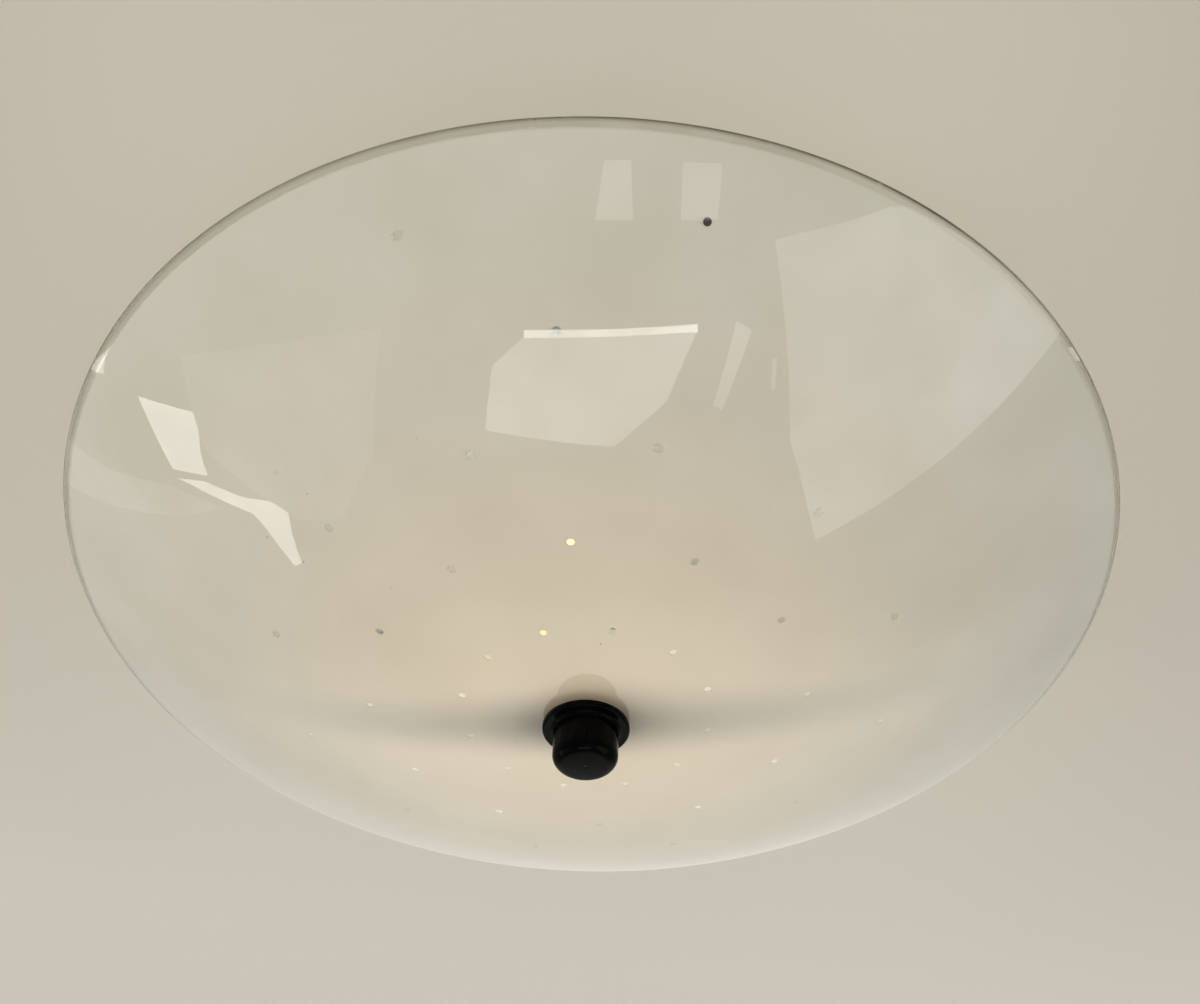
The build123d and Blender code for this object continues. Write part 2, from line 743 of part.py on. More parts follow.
def bend_radii(points):
    """As large an arc at each corner as its two runs allow, up to the largest bend."""
    radii = []
    for before, corner, after in zip(points, points[1:], points[2:]):
        run = min((corner - before).length, (after - corner).length)
        turn = radians((corner - before).get_angle(after - corner))
        radii.append(min(wire_largest_bend, wire_run_share * run / tan(turn / 2)))
    return radii


# The second arm is reached on the upper level, the third below it and the first, past the stem, lowest
levels = {1: 1, 2: 0, 0: -1}
tightest = wire_largest_bend
for name, side in (("live_wire", 1), ("neutral_wire", -1)):
    for arm, level in levels.items():
        x = side * terminal_spacing / 2
        lane = side * wire_lane
        block_z = terminal_z + level * wire_level_step
        crossing_z = terminal_z + level * wire_spread_step - wire_sag
        route = [
            Vector(x, block_start + wire_into_block, block_z),
            Vector(x, block_start - wire_exit_run, block_z),
            Vector(x, wire_turn_y, crossing_z),
        ]
        if arm == 0:
            route.append(Vector(side * stem_pass, stem_pass, crossing_z))
            route.append(Vector(side * stem_pass, -stem_pass, crossing_z))
        route.append(on_arm(arm, lane, arm_start + wire_arm_lead, wire_z))
        route.append(on_arm(arm, lane, wire_entry_radius, wire_z))
        route.append(on_arm(arm, lane, wire_entry_radius, wire_end_z))
        radii = bend_radii(route)
        tightest = min(tightest, *radii)
        with BuildPart() as wire:
            with BuildLine() as path:
                FilletPolyline(*route, radius=radii)
            with BuildSketch(Plane(path.line @ 0, z_dir=path.line % 0)):
                Circle(wire_radius)
            sweep()
        wire.part.label = f"{name}_{arm + 1}"
        export_step(wire.part, f"parts/{name}_{arm + 1}.step")
print(f"tightest bend of a lead: {tightest:.1f} mm")

# Straps that hold the leads against the arms
with BuildPart() as wire_straps:
    inside_width = arm_width + 2 * wire_gap
    inside_height = arm_thickness + 2 * wire_radius + 2 * wire_gap
    middle_z = plate_bottom_z + wire_gap / 2 - inside_height / 2
    for arm in range(arm_count):
        middle = on_arm(arm, 0, strap_position, middle_z)
        outward = on_arm(arm, 0, 1, 0)
        with BuildSketch(Plane(middle, x_dir=on_arm(arm, 1, 0, 0), z_dir=outward)):
            RectangleRounded(
                inside_width + 2 * strap_thickness,
                inside_height + 2 * strap_thickness,
                strap_thickness,
            )
            Rectangle(inside_width, inside_height, mode=Mode.SUBTRACT)
        extrude(amount=strap_length / 2, both=True)
wire_straps.part.label = "wire_straps"
export_step(wire_straps.part, "parts/wire_straps.step")
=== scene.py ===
import json
import math

import bpy
import numpy as np
from mathutils import Matrix, Vector


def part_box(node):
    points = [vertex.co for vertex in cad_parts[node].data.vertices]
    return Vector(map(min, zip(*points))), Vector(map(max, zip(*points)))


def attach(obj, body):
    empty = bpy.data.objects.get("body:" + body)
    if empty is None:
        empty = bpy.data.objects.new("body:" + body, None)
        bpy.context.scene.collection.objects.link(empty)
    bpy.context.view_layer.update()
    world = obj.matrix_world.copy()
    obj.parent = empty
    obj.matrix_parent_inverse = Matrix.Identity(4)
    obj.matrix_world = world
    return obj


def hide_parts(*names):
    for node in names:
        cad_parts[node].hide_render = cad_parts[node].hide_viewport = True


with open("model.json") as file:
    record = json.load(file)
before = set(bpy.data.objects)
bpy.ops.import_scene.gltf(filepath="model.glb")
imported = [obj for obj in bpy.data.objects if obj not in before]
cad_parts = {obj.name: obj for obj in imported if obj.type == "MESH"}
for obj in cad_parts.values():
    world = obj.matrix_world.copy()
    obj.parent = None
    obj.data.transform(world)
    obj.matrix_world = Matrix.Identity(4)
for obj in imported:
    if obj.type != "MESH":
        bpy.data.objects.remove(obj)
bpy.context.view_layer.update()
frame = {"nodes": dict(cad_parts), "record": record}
mm = 0.001
print("frame loaded:", len(frame["nodes"]), "nodes")


# Shared helpers

def linear(hexText):
    # sRGB hex to linear: c / 12.92 below 0.04045, else ((c + 0.055) / 1.055) ^ 2.4
    parts = [int(hexText[i:i + 2], 16) / 255 for i in (1, 3, 5)]
    return tuple(c / 12.92 if c <= 0.04045 else ((c + 0.055) / 1.055) ** 2.4 for c in parts) + (1.0,)


def add(tree, kind, inputs=None, stops=(), **settings):
    # one node with its settings and its colour stops (place, hex), if it has any. An input is a plain value,
    # or a link from a socket or from another node's first output
    node = tree.nodes.new("ShaderNode" + kind)
    for name, value in settings.items():
        setattr(node, name, value)
    for key, value in (inputs or {}).items():
        if isinstance(value, bpy.types.Node):
            value = value.outputs[0]
        if isinstance(value, bpy.types.NodeSocket):
            tree.links.new(value, node.inputs[key])
        else:
            node.inputs[key].default_value = value
    if stops:
        elements = node.color_ramp.elements
        while len(elements) < len(stops):
            elements.new(0.5)
        for element, (place, hexText) in zip(elements, stops):
            element.position = place
            element.color = linear(hexText)
    return node


def startMaterial(name):
    # an empty material, its tree, and the place on the piece in metres
    material = bpy.data.materials.new(name)
    material.use_nodes = True
    tree = material.node_tree
    tree.nodes.clear()
    return material, tree, add(tree, "TexCoord").outputs["Object"]


def aboutAxis(tree, place):
    # x, y and z of a place, and its distance from the Z axis
    x, y, z = add(tree, "SeparateXYZ", {"Vector": place}).outputs
    flat = add(tree, "CombineXYZ", {"X": x, "Y": y})
    return x, y, z, add(tree, "VectorMath", {0: flat}, operation="LENGTH").outputs["Value"]


def gridFaces(rows, columns, wrapRows, wrapColumns):
    # quads between neighbouring points of a rows x columns grid, point index = row * columns + column
    i = np.arange(rows if wrapRows else rows - 1)
    j = np.arange(columns if wrapColumns else columns - 1)
    i, j = np.meshgrid(i, j, indexing="ij")
    up = (i + 1) % rows
    right = (j + 1) % columns
    corners = (i * columns + j, i * columns + right, up * columns + right, up * columns + j)
    return np.stack([c.ravel() for c in corners], axis=1)


def volumeOf(points, quads):
    # signed volume: sum of a . (b x c) / 6 over the triangles
    a, b, c, d = (points[quads[:, k]] for k in range(4))
    first = np.einsum("ij,ij->i", a, np.cross(b, c))
    second = np.einsum("ij,ij->i", a, np.cross(c, d))
    return (first.sum() + second.sum()) / 6


def facingOut(points, quads):
    # faces that enclose a volume below zero are turned round
    return quads if volumeOf(points, quads) > 0 else quads[:, ::-1]


def putMesh(name, points, quads, material, body, replaced):
    # points in millimetres go into a mesh object at the origin, which rides a body for its node
    mesh = bpy.data.meshes.new(name)
    mesh.vertices.add(len(points))
    mesh.vertices.foreach_set("co", np.ascontiguousarray(points * mm, dtype=np.float32).ravel())
    mesh.loops.add(quads.size)
    mesh.loops.foreach_set("vertex_index", np.ascontiguousarray(quads, dtype=np.int32).ravel())
    mesh.polygons.add(len(quads))
    mesh.polygons.foreach_set("loop_start", np.arange(0, quads.size, 4, dtype=np.int32))
    mesh.polygons.foreach_set("use_smooth", np.ones(len(quads), dtype=bool))
    mesh.update(calc_edges=True)
    mesh.validate()
    mesh.materials.append(material)
    piece = bpy.data.objects.new(name, mesh)
    bpy.context.scene.collection.objects.link(piece)
    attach(piece, body)
    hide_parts(replaced)
    return piece


def putStage(name, points, material):
    # one flat face that belongs to the stage, with its points in metres
    mesh = bpy.data.meshes.new(name)
    mesh.from_pydata(points, [], [range(len(points))])
    mesh.materials.append(material)
    sheet = bpy.data.objects.new(name, mesh)
    bpy.context.scene.collection.objects.link(sheet)
    return sheet


def lathe(profile, angles):
    # profile points (r, z) turned about Z: x = r cos a, y = r sin a
    r, z = profile[:, 0], profile[:, 1]
    flat = (np.outer(np.cos(angles), r), np.outer(np.sin(angles), r), np.tile(z, (len(angles), 1)))
    return np.stack(flat, axis=-1)


def arcPoints(centre, radius, start, end, count):
    # points centre + radius (cos t, sin t), with t in degrees
    t = np.radians(np.linspace(start, end, count))
    return np.stack((centre[0] + radius * np.cos(t), centre[1] + radius * np.sin(t)), axis=1)


# Glass dish: a spherical cap of sagged glass, with a rounded rim, small chips and a few seed bubbles

dish = {
    "rimRadius": 225.0,
    "depth": 70.0,
    "rimDrop": 36.0,
    "thickness": 4.0,
    "rimRounding": 0.8,
    "roundSteps": 7,  # points on each quarter round of the rim
    "holeRadius": 6.6,
    "segments": 720,
    "outerRows": 30,
    "innerRows": 26,
    "rimRows": 14,  # finer rows near the rim, where the chips are
    "rimRun": 5.0,
    "chips": (  # angle on the rim, distance in from the rim's corner, ball radius, depth
        (268.9, 1.9, 1.9, 0.75),
        (271.0, 0.1, 1.1, 0.5),
        (283.4, 0.2, 0.9, 0.35),
        (289.2, 0.3, 1.4, 0.6),
        (299.2, 0.2, 1.5, 0.5),
        (124.0, 0.2, 1.2, 0.5),
    ),
    "chipSpread": 0.9,  # degrees to each side that get finer segments
    "chipStep": 0.05,
    "bubbles": (  # tilt from straight down, turn about Z, half length, half width
        (22.9, -134.0, 1.0, 0.7),
        (21.1, -144.6, 0.45, 0.32),
        (26.1, -141.6, 0.35, 0.3),
        (18.7, -144.1, 0.4, 0.3),
    ),
    "bubbleRows": 12,
    "bubbleColumns": 16,
    "bubblePole": 0.02,  # radians left open at each end of a bubble
}
sphereRadius = (dish["rimRadius"] ** 2 + dish["depth"] ** 2) / (2 * dish["depth"])
innerRadius = sphereRadius - dish["thickness"]
poleZ = -dish["rimDrop"] - dish["depth"]
sphereZ = poleZ + sphereRadius
rimTilt = math.asin(dish["rimRadius"] / sphereRadius)


def onSphere(radius, tilt):
    # (r, z) of a point at a tilt from straight down, seen from the sphere's centre
    return np.stack((radius * np.sin(tilt), sphereZ - radius * np.cos(tilt)), axis=-1)


def rimFillet(radius, outwards):
    # a quarter round that touches the sphere and the rim's cut face, which stands square to it
    rounding = dish["rimRounding"]
    level = radius - rounding if outwards else radius + rounding
    tilt = rimTilt - math.asin(rounding / level)
    t = np.linspace(0, math.pi / 2, dish["roundSteps"])
    across = np.sin(t) if outwards else np.cos(t)
    along = np.cos(t) if outwards else -np.sin(t)
    middle = onSphere(level, tilt)
    outDirection = np.array((math.sin(tilt), -math.cos(tilt)))
    rimDirection = np.array((math.cos(tilt), math.sin(tilt)))
    return middle + rounding * (np.outer(along, outDirection) + np.outer(across, rimDirection)), tilt


def chipDish(points):
    # each chip is a ball's scoop: points inside the ball go straight out to its surface
    for turn, inset, radius, depth in dish["chips"]:
        tilt = rimTilt - inset / sphereRadius
        r, z = onSphere(sphereRadius - depth + radius, tilt)
        centre = np.array((r * math.cos(math.radians(turn)), r * math.sin(math.radians(turn)), z))
        away = points - centre
        distance = np.linalg.norm(away, axis=-1, keepdims=True)
        points = np.where(distance < radius, centre + away * radius / np.maximum(distance, 1e-6), points)
    return points


def bubblePoints(tilt, turn, halfLength, halfWidth):
    # an ellipsoid of rings, drawn out along the glass, in the middle of its thickness
    polar = np.linspace(dish["bubblePole"], math.pi - dish["bubblePole"], dish["bubbleRows"])
    around = np.linspace(0, 2 * math.pi, dish["bubbleColumns"], endpoint=False)
    polar, around = np.meshgrid(polar, around, indexing="ij")
    local = np.stack((
        halfLength * np.cos(polar),
        halfWidth * np.sin(polar) * np.cos(around),
        halfWidth * np.sin(polar) * np.sin(around),
    ), axis=-1)
    a, b = math.radians(tilt), math.radians(turn)
    outDirection = np.array((math.sin(a) * math.cos(b), math.sin(a) * math.sin(b), -math.cos(a)))
    sideways = np.array((-math.sin(b), math.cos(b), 0.0))
    frameAxes = np.stack((sideways, np.cross(outDirection, sideways), outDirection))
    middle = np.array((0, 0, sphereZ)) + outDirection * (sphereRadius + innerRadius) / 2
    return (middle + local @ frameAxes).reshape(-1, 3)


def buildGlassDish(material):
    # the profile of outer cap, rim and inner cap is turned about Z and chipped; bubbles' walls face inwards
    outerRound, outerEnd = rimFillet(sphereRadius, True)
    innerRound, innerEnd = rimFillet(innerRadius, False)
    fineStart = outerEnd - dish["rimRun"] / sphereRadius
    holeOut = math.asin(dish["holeRadius"] / sphereRadius)
    holeIn = math.asin(dish["holeRadius"] / innerRadius)
    profile = np.concatenate((
        onSphere(sphereRadius, np.linspace(holeOut, fineStart, dish["outerRows"])),
        onSphere(sphereRadius, np.linspace(fineStart, outerEnd, dish["rimRows"])[1:-1]),
        outerRound,
        innerRound,
        onSphere(innerRadius, np.linspace(innerEnd, holeIn, dish["innerRows"])[1:]),
    ))
    angles = np.linspace(0, 360, dish["segments"], endpoint=False)
    spread = np.arange(-dish["chipSpread"], dish["chipSpread"] + dish["chipStep"] / 2, dish["chipStep"])
    near = [chip[0] + spread for chip in dish["chips"]]
    angles = np.unique(np.round(np.concatenate([angles] + near) % 360, 4))
    grid = chipDish(lathe(profile, np.radians(angles)))
    points = grid.reshape(-1, 3)
    quads = facingOut(points, gridFaces(len(angles), len(profile), True, True))
    shell = gridFaces(dish["bubbleRows"], dish["bubbleColumns"], False, True)
    for place in dish["bubbles"]:
        hollow = bubblePoints(*place)
        walls = facingOut(hollow, shell)[:, ::-1]
        quads = np.concatenate((quads, walls + len(points)))
        points = np.concatenate((points, hollow))
    return putMesh("dishGlass", points, quads, material, "shade", "glass_dish")


# Enamel coat: a polar sheet on the glass's inner face, with a round opening at each clear dot

enamel = {
    "thickness": 0.3,
    "glassGap": 0.05,
    "bond": 0.05,  # the lower face lies this far inside the glass, as fired enamel has no air under it
    "margin": 3.0,
    "holeRadius": 8.0,
    "dotRadius": 1.5,
    "firstRing": 50.5,
    "ringStep": 39.3,
    "dotsRound": 12,  # places on a ring
    "fullRings": 3,  # rings with a dot at each place
    "outerPlaces": ((0,), (-0.5, 0.5)),  # three more dots outside them on one side
    "columns": 1152,
    "rowsPerRing": 6,
    "dotShares": (0.35, 0.65, 0.88, 1.0),  # rings from a block's border to the dot's circle
    "ragged": 0.22,  # half width of the uneven edge along the margin
    "waves": (16, 37, 71, 113, 167, 229, 283),  # whole waves round the rim, about 90 to 5 mm long
    "seed": 11,
}


def raggedEdge(angles):
    # a sum of sines of whole waves round the rim
    rng = np.random.default_rng(enamel["seed"])
    waves = np.array(enamel["waves"])
    phases = rng.uniform(0, 2 * math.pi, len(waves))
    heights = rng.uniform(0.4, 1.0, len(waves))
    total = np.sin(np.outer(angles, waves) + phases) @ heights
    return enamel["ragged"] * total / heights.sum() * 2


def buildEnamelCoat(material):
    # a sheet in run and turn on the sphere: the tilt is run / radius, and the turn is the angle about Z
    faceRadius = innerRadius + enamel["bond"]
    columns = enamel["columns"]
    angles = np.linspace(0, 2 * math.pi, columns, endpoint=False)
    step = enamel["ringStep"] / enamel["rowsPerRing"]
    edge = innerRadius * rimTilt - enamel["margin"]
    first = enamel["firstRing"]
    below = int((first - enamel["holeRadius"]) / step)
    above = int((edge - first - step / 2) / step)
    runs = np.concatenate((
        [innerRadius * math.asin(enamel["holeRadius"] / innerRadius)],
        first + step * np.arange(-below, above + 1),
        [edge],
    ))
    along = np.repeat(runs[:, None], columns, axis=1)
    along[-1] += raggedEdge(angles)
    turn = np.repeat(angles[None, :], len(runs), axis=0)
    keep = np.ones((len(runs) - 1, columns), dtype=bool)
    quads = gridFaces(len(runs), columns, False, True)
    patches = []
    half = columns // (4 * enamel["dotsRound"])  # columns to each side of a dot
    # neighbouring rings are half a place out of line, and place 0 points along -Y
    places = [np.arange(enamel["dotsRound"]) - 0.5 * (ring % 2 == 0) for ring in range(enamel["fullRings"])]
    for ring, ringPlaces in enumerate(places + list(enamel["outerPlaces"])):
        row = below + 1 + ring * enamel["rowsPerRing"]
        for place in ringPlaces:
            column = round((place / enamel["dotsRound"] - 0.25) * columns) % columns
            patches.append((row, column))
            across = np.arange(column - half, column + half) % columns
            keep[row - 1:row + 1, across] = False
    runList = [along.ravel()]
    turnList = [turn.ravel()]
    faceList = [quads[keep.ravel()]]
    count = along.size
    walk = np.arange(-half, half)
    for row, column in patches:
        # the block's border, walked once round, then rings that shrink from it to the dot's circle
        rowSteps = np.concatenate((np.full(2 * half, -1), [-1, 0], np.full(2 * half, 1), [1, 0]))
        columnSteps = np.concatenate((walk, [half, half], walk[::-1] + 1, [-half, -half]))
        border = (row + rowSteps) * columns + (column + columnSteps) % columns
        middleRun = runs[row]
        middleTurn = angles[column % columns]
        ringRadius = innerRadius * math.sin(middleRun / innerRadius)
        dRun = runs[row + rowSteps] - middleRun
        dTurn = columnSteps * (2 * math.pi / columns) * ringRadius
        length = np.hypot(dRun, dTurn)
        previous = border
        for share in enamel["dotShares"]:
            reach = (length * (1 - share) + enamel["dotRadius"] * share) / length
            runList.append(middleRun + dRun * reach)
            turnList.append(middleTurn + dTurn * reach / ringRadius)
            current = count + np.arange(len(border))
            count += len(border)
            ahead = np.roll(np.arange(len(border)), -1)
            faceList.append(np.stack((previous, previous[ahead], current[ahead], current), axis=1))
            previous = current
    tilt = np.concatenate(runList) / innerRadius
    turn = np.concatenate(turnList)
    flat = onSphere(faceRadius, tilt)
    points = np.stack((flat[:, 0] * np.cos(turn), flat[:, 0] * np.sin(turn), flat[:, 1]), axis=1)
    quads = np.concatenate(faceList)
    # faces point down, to the glass
    a, b, c = (points[quads[:, k]] for k in range(3))
    upwards = np.cross(b - a, c - a)[:, 2] > 0
    quads = np.where(upwards[:, None], quads[:, ::-1], quads)
    used = np.zeros(len(points), dtype=bool)
    used[quads.ravel()] = True
    quads = (np.cumsum(used) - 1)[quads]
    piece = putMesh("dishEnamel", points[used], quads, material, "shade", "enamel_coat")
    solid = piece.modifiers.new("fired thickness", "SOLIDIFY")
    solid.thickness = (enamel["thickness"] + enamel["glassGap"] + enamel["bond"]) * mm
    solid.offset = -1
    solid.use_even_offset = True
    faceNormals = piece.modifiers.new("flat face normals", "WEIGHTED_NORMAL")
    faceNormals.weight = 100
    return piece


# Finial knob: turned profile with a thin flange, a rounded end and a shallow dome

finial = {
    "seatGap": 0.1,
    "gasket": 1.5,
    "height": 19.5,
    "flangeRadius": 17.5,
    "flangeThickness": 2.6,
    "flangeRounding": 1.0,
    "bodyRadius": 13.0,
    "neckRounding": 1.6,
    "edgeRounding": 5.0,
    "dome": 1.2,
    "topBevel": 0.25,
    "topRun": 0.6,  # where the flat of the top starts, in from the flange's edge
    "pocketRadius": 7.05,
    "pocketDepth": 16.0,
    "pocketBevel": 0.3,
    "poleRadius": 0.02,  # left open at the axis
    "segments": 192,
}
finialTop = poleZ - finial["seatGap"] - finial["gasket"]


def finialProfile():
    # lines and arcs that touch, from the axis at the bottom, round the outside, to the pocket's floor
    f = finial
    bottom = finialTop - f["height"]
    flangeZ = finialTop - f["flangeThickness"]
    domeRadius = (f["bodyRadius"] ** 2 + f["dome"] ** 2) / (2 * f["dome"])
    # the end's round touches the dome from inside: its centre is domeRadius - edgeRounding from the dome's
    edgeMiddle = f["bodyRadius"] - f["edgeRounding"]
    domeZ = bottom + domeRadius
    edgeZ = domeZ - math.sqrt((domeRadius - f["edgeRounding"]) ** 2 - edgeMiddle ** 2)
    touch = math.degrees(math.atan2(edgeZ - domeZ, edgeMiddle))
    neckMiddle = (f["bodyRadius"] + f["neckRounding"], flangeZ - f["neckRounding"])
    rimMiddle = (f["flangeRadius"] - f["flangeRounding"], flangeZ + f["flangeRounding"])
    pocketFloor = finialTop - f["pocketDepth"]
    return np.concatenate((
        [(f["poleRadius"], bottom)],
        arcPoints((0, domeZ), domeRadius, -90, touch, 9)[1:],
        arcPoints((edgeMiddle, edgeZ), f["edgeRounding"], touch, 0, 16)[1:],
        np.linspace((f["bodyRadius"], edgeZ), (f["bodyRadius"], neckMiddle[1]), 8)[1:-1],
        arcPoints(neckMiddle, f["neckRounding"], 180, 90, 9),
        np.linspace((neckMiddle[0], flangeZ), (rimMiddle[0], flangeZ), 5)[1:-1],
        arcPoints(rimMiddle, f["flangeRounding"], -90, 0, 8),
        [(f["flangeRadius"], finialTop - f["topBevel"]), (f["flangeRadius"] - f["topBevel"], finialTop)],
        [(f["flangeRadius"] - f["topRun"], finialTop), (f["pocketRadius"] + f["pocketBevel"], finialTop)],
        [(f["pocketRadius"], finialTop - f["pocketBevel"]), (f["pocketRadius"], pocketFloor)],
        [(f["poleRadius"], pocketFloor)],
    ))


def buildFinialKnob(material):
    # the profile turned about Z
    profile = finialProfile()
    angles = np.linspace(0, 2 * math.pi, finial["segments"], endpoint=False)
    points = lathe(profile, angles).reshape(-1, 3)
    quads = facingOut(points, gridFaces(len(angles), len(profile), True, True))
    return putMesh("finialKnob", points, quads, material, "finial", "finial_knob")


# Threads: the stem's M10 x 1 and the bulb caps' rolled E27

stem = {
    "radius": 5.0,
    "bore": 3.4,
    "top": -5.0,
    "engaged": 13.5,  # length inside the finial
    "pitch": 1.0,
    "threadDepth": 0.6,
    "crest": 0.12,  # shares of half a pitch that are flat
    "root": 0.2,
    "rowsPerTurn": 8,
    "segments": 36,
}


def buildStemThread(material):
    top, bottom = stem["top"], finialTop - stem["engaged"]
    rows = int((top - bottom) / stem["pitch"] * stem["rowsPerTurn"])
    turn = np.linspace(0, 2 * math.pi, stem["segments"], endpoint=False)
    level, angle = np.meshgrid(np.linspace(top, bottom, rows), turn, indexing="ij")
    # right-handed helix: the phase z / pitch - angle / 2 pi stays the same along a crest
    phase = level / stem["pitch"] - angle / (2 * math.pi)
    # 1 on the crest and 0 in the root, with straight flanks between, and down to the root at both ends
    flank = np.abs((phase % 1.0) * 2 - 1)
    shape = np.clip((flank - stem["root"]) / (1 - stem["crest"] - stem["root"]), 0, 1)
    ends = np.clip(np.minimum(top - level, level - bottom) / stem["pitch"], 0, 1)
    radius = stem["radius"] - stem["threadDepth"] * np.maximum(1 - shape, 1 - ends)
    outside = np.stack((radius * np.cos(angle), radius * np.sin(angle), level), axis=-1)
    bore = np.stack((stem["bore"] * np.cos(turn), stem["bore"] * np.sin(turn), np.zeros_like(turn)), axis=-1)
    up = np.array((0, 0, 1.0))
    grid = np.concatenate(((bore + up * top)[None], outside, (bore + up * bottom)[None]))
    points = grid.reshape(-1, 3)
    quads = facingOut(points, gridFaces(rows + 2, stem["segments"], True, True))
    return putMesh("stemThread", points, quads, material, "base", "stem_tube")


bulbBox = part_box("bulb_glass_1")
lampCap = {
    "radius": 13.1,
    "sheet": 0.4,
    "start": 23.8,  # along the lamp axis from the arm's tab
    "threadLength": 18.0,
    "shoulder": 0.4,  # between the thread and the collar
    "fadeRun": 1.2,  # length over which the thread starts and ends
    "fadeDepth": 0.6,  # share of the thread's depth at its ends
    "neck": (0.2, 0.3),  # run before the collar, and drop from the thread's radius
    "collarLength": 4.0,
    "collarRadius": 14.55,
    "collarLip": ((0.0, 0.5), (0.3, 0.1), (0.7, 0.0)),  # run from the collar's start, drop from its radius
    "collarEnd": ((0.4, 0.0), (0.1, 0.1), (0.0, 0.25)),  # the same from its end
    "collarGap": 0.45,
    "pitch": 3.62,
    "threadDepth": 0.85,
    "rowsPerTurn": 14,
    "segments": 96,
    "arms": 3,
    "tabRadius": -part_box("holder_body_1")[0][1] / mm,
    "axisZ": (bulbBox[0][2] + bulbBox[1][2]) / 2 / mm,
}


def buildLampCap(arm, material):
    c = lampCap
    collarStart = c["start"] + c["threadLength"]
    threadEnd = collarStart - c["shoulder"]
    end = collarStart + c["collarLength"]
    rows = int(c["threadLength"] / c["pitch"] * c["rowsPerTurn"])
    run = np.linspace(c["start"], threadEnd, rows)
    turn = np.linspace(0, 2 * math.pi, c["segments"], endpoint=False)
    along, angle = np.meshgrid(run, turn, indexing="ij")
    # rolled round thread: radius = r - depth (1 - cos(2 pi run / pitch - angle)) / 2, fading at both ends
    wave = (1 - np.cos(2 * math.pi * along / c["pitch"] - angle)) / 2
    fade = np.clip(np.minimum(along - c["start"], threadEnd - along) / c["fadeRun"], 0, 1)
    radius = c["radius"] - c["threadDepth"] * (wave * fade + (1 - fade) * c["fadeDepth"])
    outside = np.stack((along, radius), axis=-1)
    inwards = c["collarRadius"] - c["collarGap"]
    collar = np.concatenate((
        [(collarStart - c["neck"][0], c["radius"] - c["neck"][1])],
        np.array((collarStart, c["collarRadius"])) + np.array(c["collarLip"]) * (1, -1),
        np.array((end, c["collarRadius"])) - np.array(c["collarEnd"]),
        [(end, inwards), (collarStart + c["collarGap"], inwards)],
    ))
    rim = np.repeat(collar[:, None, :], c["segments"], axis=1)
    inside = outside[::-1] - np.array((0, c["sheet"]))
    sheet = np.concatenate((outside, rim, inside))
    around = np.broadcast_to(turn, sheet.shape[:2])
    # the first lamp's axis runs along +Y from its tab; the others are turned about Z
    x = sheet[..., 1] * np.cos(around)
    y = sheet[..., 0] - c["tabRadius"]
    z = c["axisZ"] + sheet[..., 1] * np.sin(around)
    t = 2 * math.pi / c["arms"] * (arm - 1)
    points = np.stack((x * math.cos(t) - y * math.sin(t), x * math.sin(t) + y * math.cos(t), z), axis=-1)
    points = points.reshape(-1, 3)
    quads = facingOut(points, gridFaces(len(sheet), c["segments"], True, True))
    name = f"bulbCapThread_{arm}"
    return putMesh(name, points, quads, material, f"bulb_{arm}", f"bulb_cap_{arm}")


# Materials

dishGlass = {
    "wave": 60.0,
    "waveHeight": 0.4,
    "passed": "#fcfdfb",  # colour of the light that shines through a face
    # painted shade: the glass is tinted grey along the rim and dark at its corner, for the dim look of the
    # cut edge
    "rimWidth": 3.5,  # along the rim the sight runs through the cut edge: grey there, dark at the corner
    "rimShadeStops": (
        (0.0, "#f8fbf7"), (0.15, "#d8d9d4"), (0.7, "#d0d0ca"), (0.86, "#8a8579"), (1.0, "#777266"),
    ),
}


def sodaLimeGlass():
    # sagged window glass, fire polished: clear and slightly green, mirror-smooth with a faint wave
    material, tree, place = startMaterial("sodaLimeGlass")
    wave = add(tree, "TexNoise", {"Vector": place, "Scale": 1 / (dishGlass["wave"] * mm), "Detail": 1.0})
    bump = add(tree, "Bump", {
        "Height": wave.outputs["Fac"], "Strength": 0.05, "Distance": dishGlass["waveHeight"] * mm,
    })
    distance = aboutAxis(tree, place)[-1]
    # painted shade on the rim's glass, from the rim's tint stops
    edge = add(tree, "MapRange", {
        "Value": distance,
        "From Min": (dish["rimRadius"] - dishGlass["rimWidth"]) * mm,
        "From Max": dish["rimRadius"] * mm,
    })
    glass = add(tree, "BsdfPrincipled", {
        "Base Color": add(tree, "ValToRGB", {"Fac": edge}, dishGlass["rimShadeStops"]),
        "Roughness": 0.012,
        "IOR": 1.52,
        "Transmission Weight": 1.0,
        "Normal": bump,
    })
    # lamps shine through to the enamel: shadow and diffuse rays pass straight on
    path = add(tree, "LightPath").outputs
    through = add(tree, "Math", {0: path["Is Shadow Ray"], 1: path["Is Diffuse Ray"]}, operation="MAXIMUM")
    clear = add(tree, "BsdfTransparent", {"Color": linear(dishGlass["passed"])})
    mixed = add(tree, "MixShader", {0: through, 1: glass, 2: clear})
    add(tree, "OutputMaterial", {"Surface": mixed})
    return material
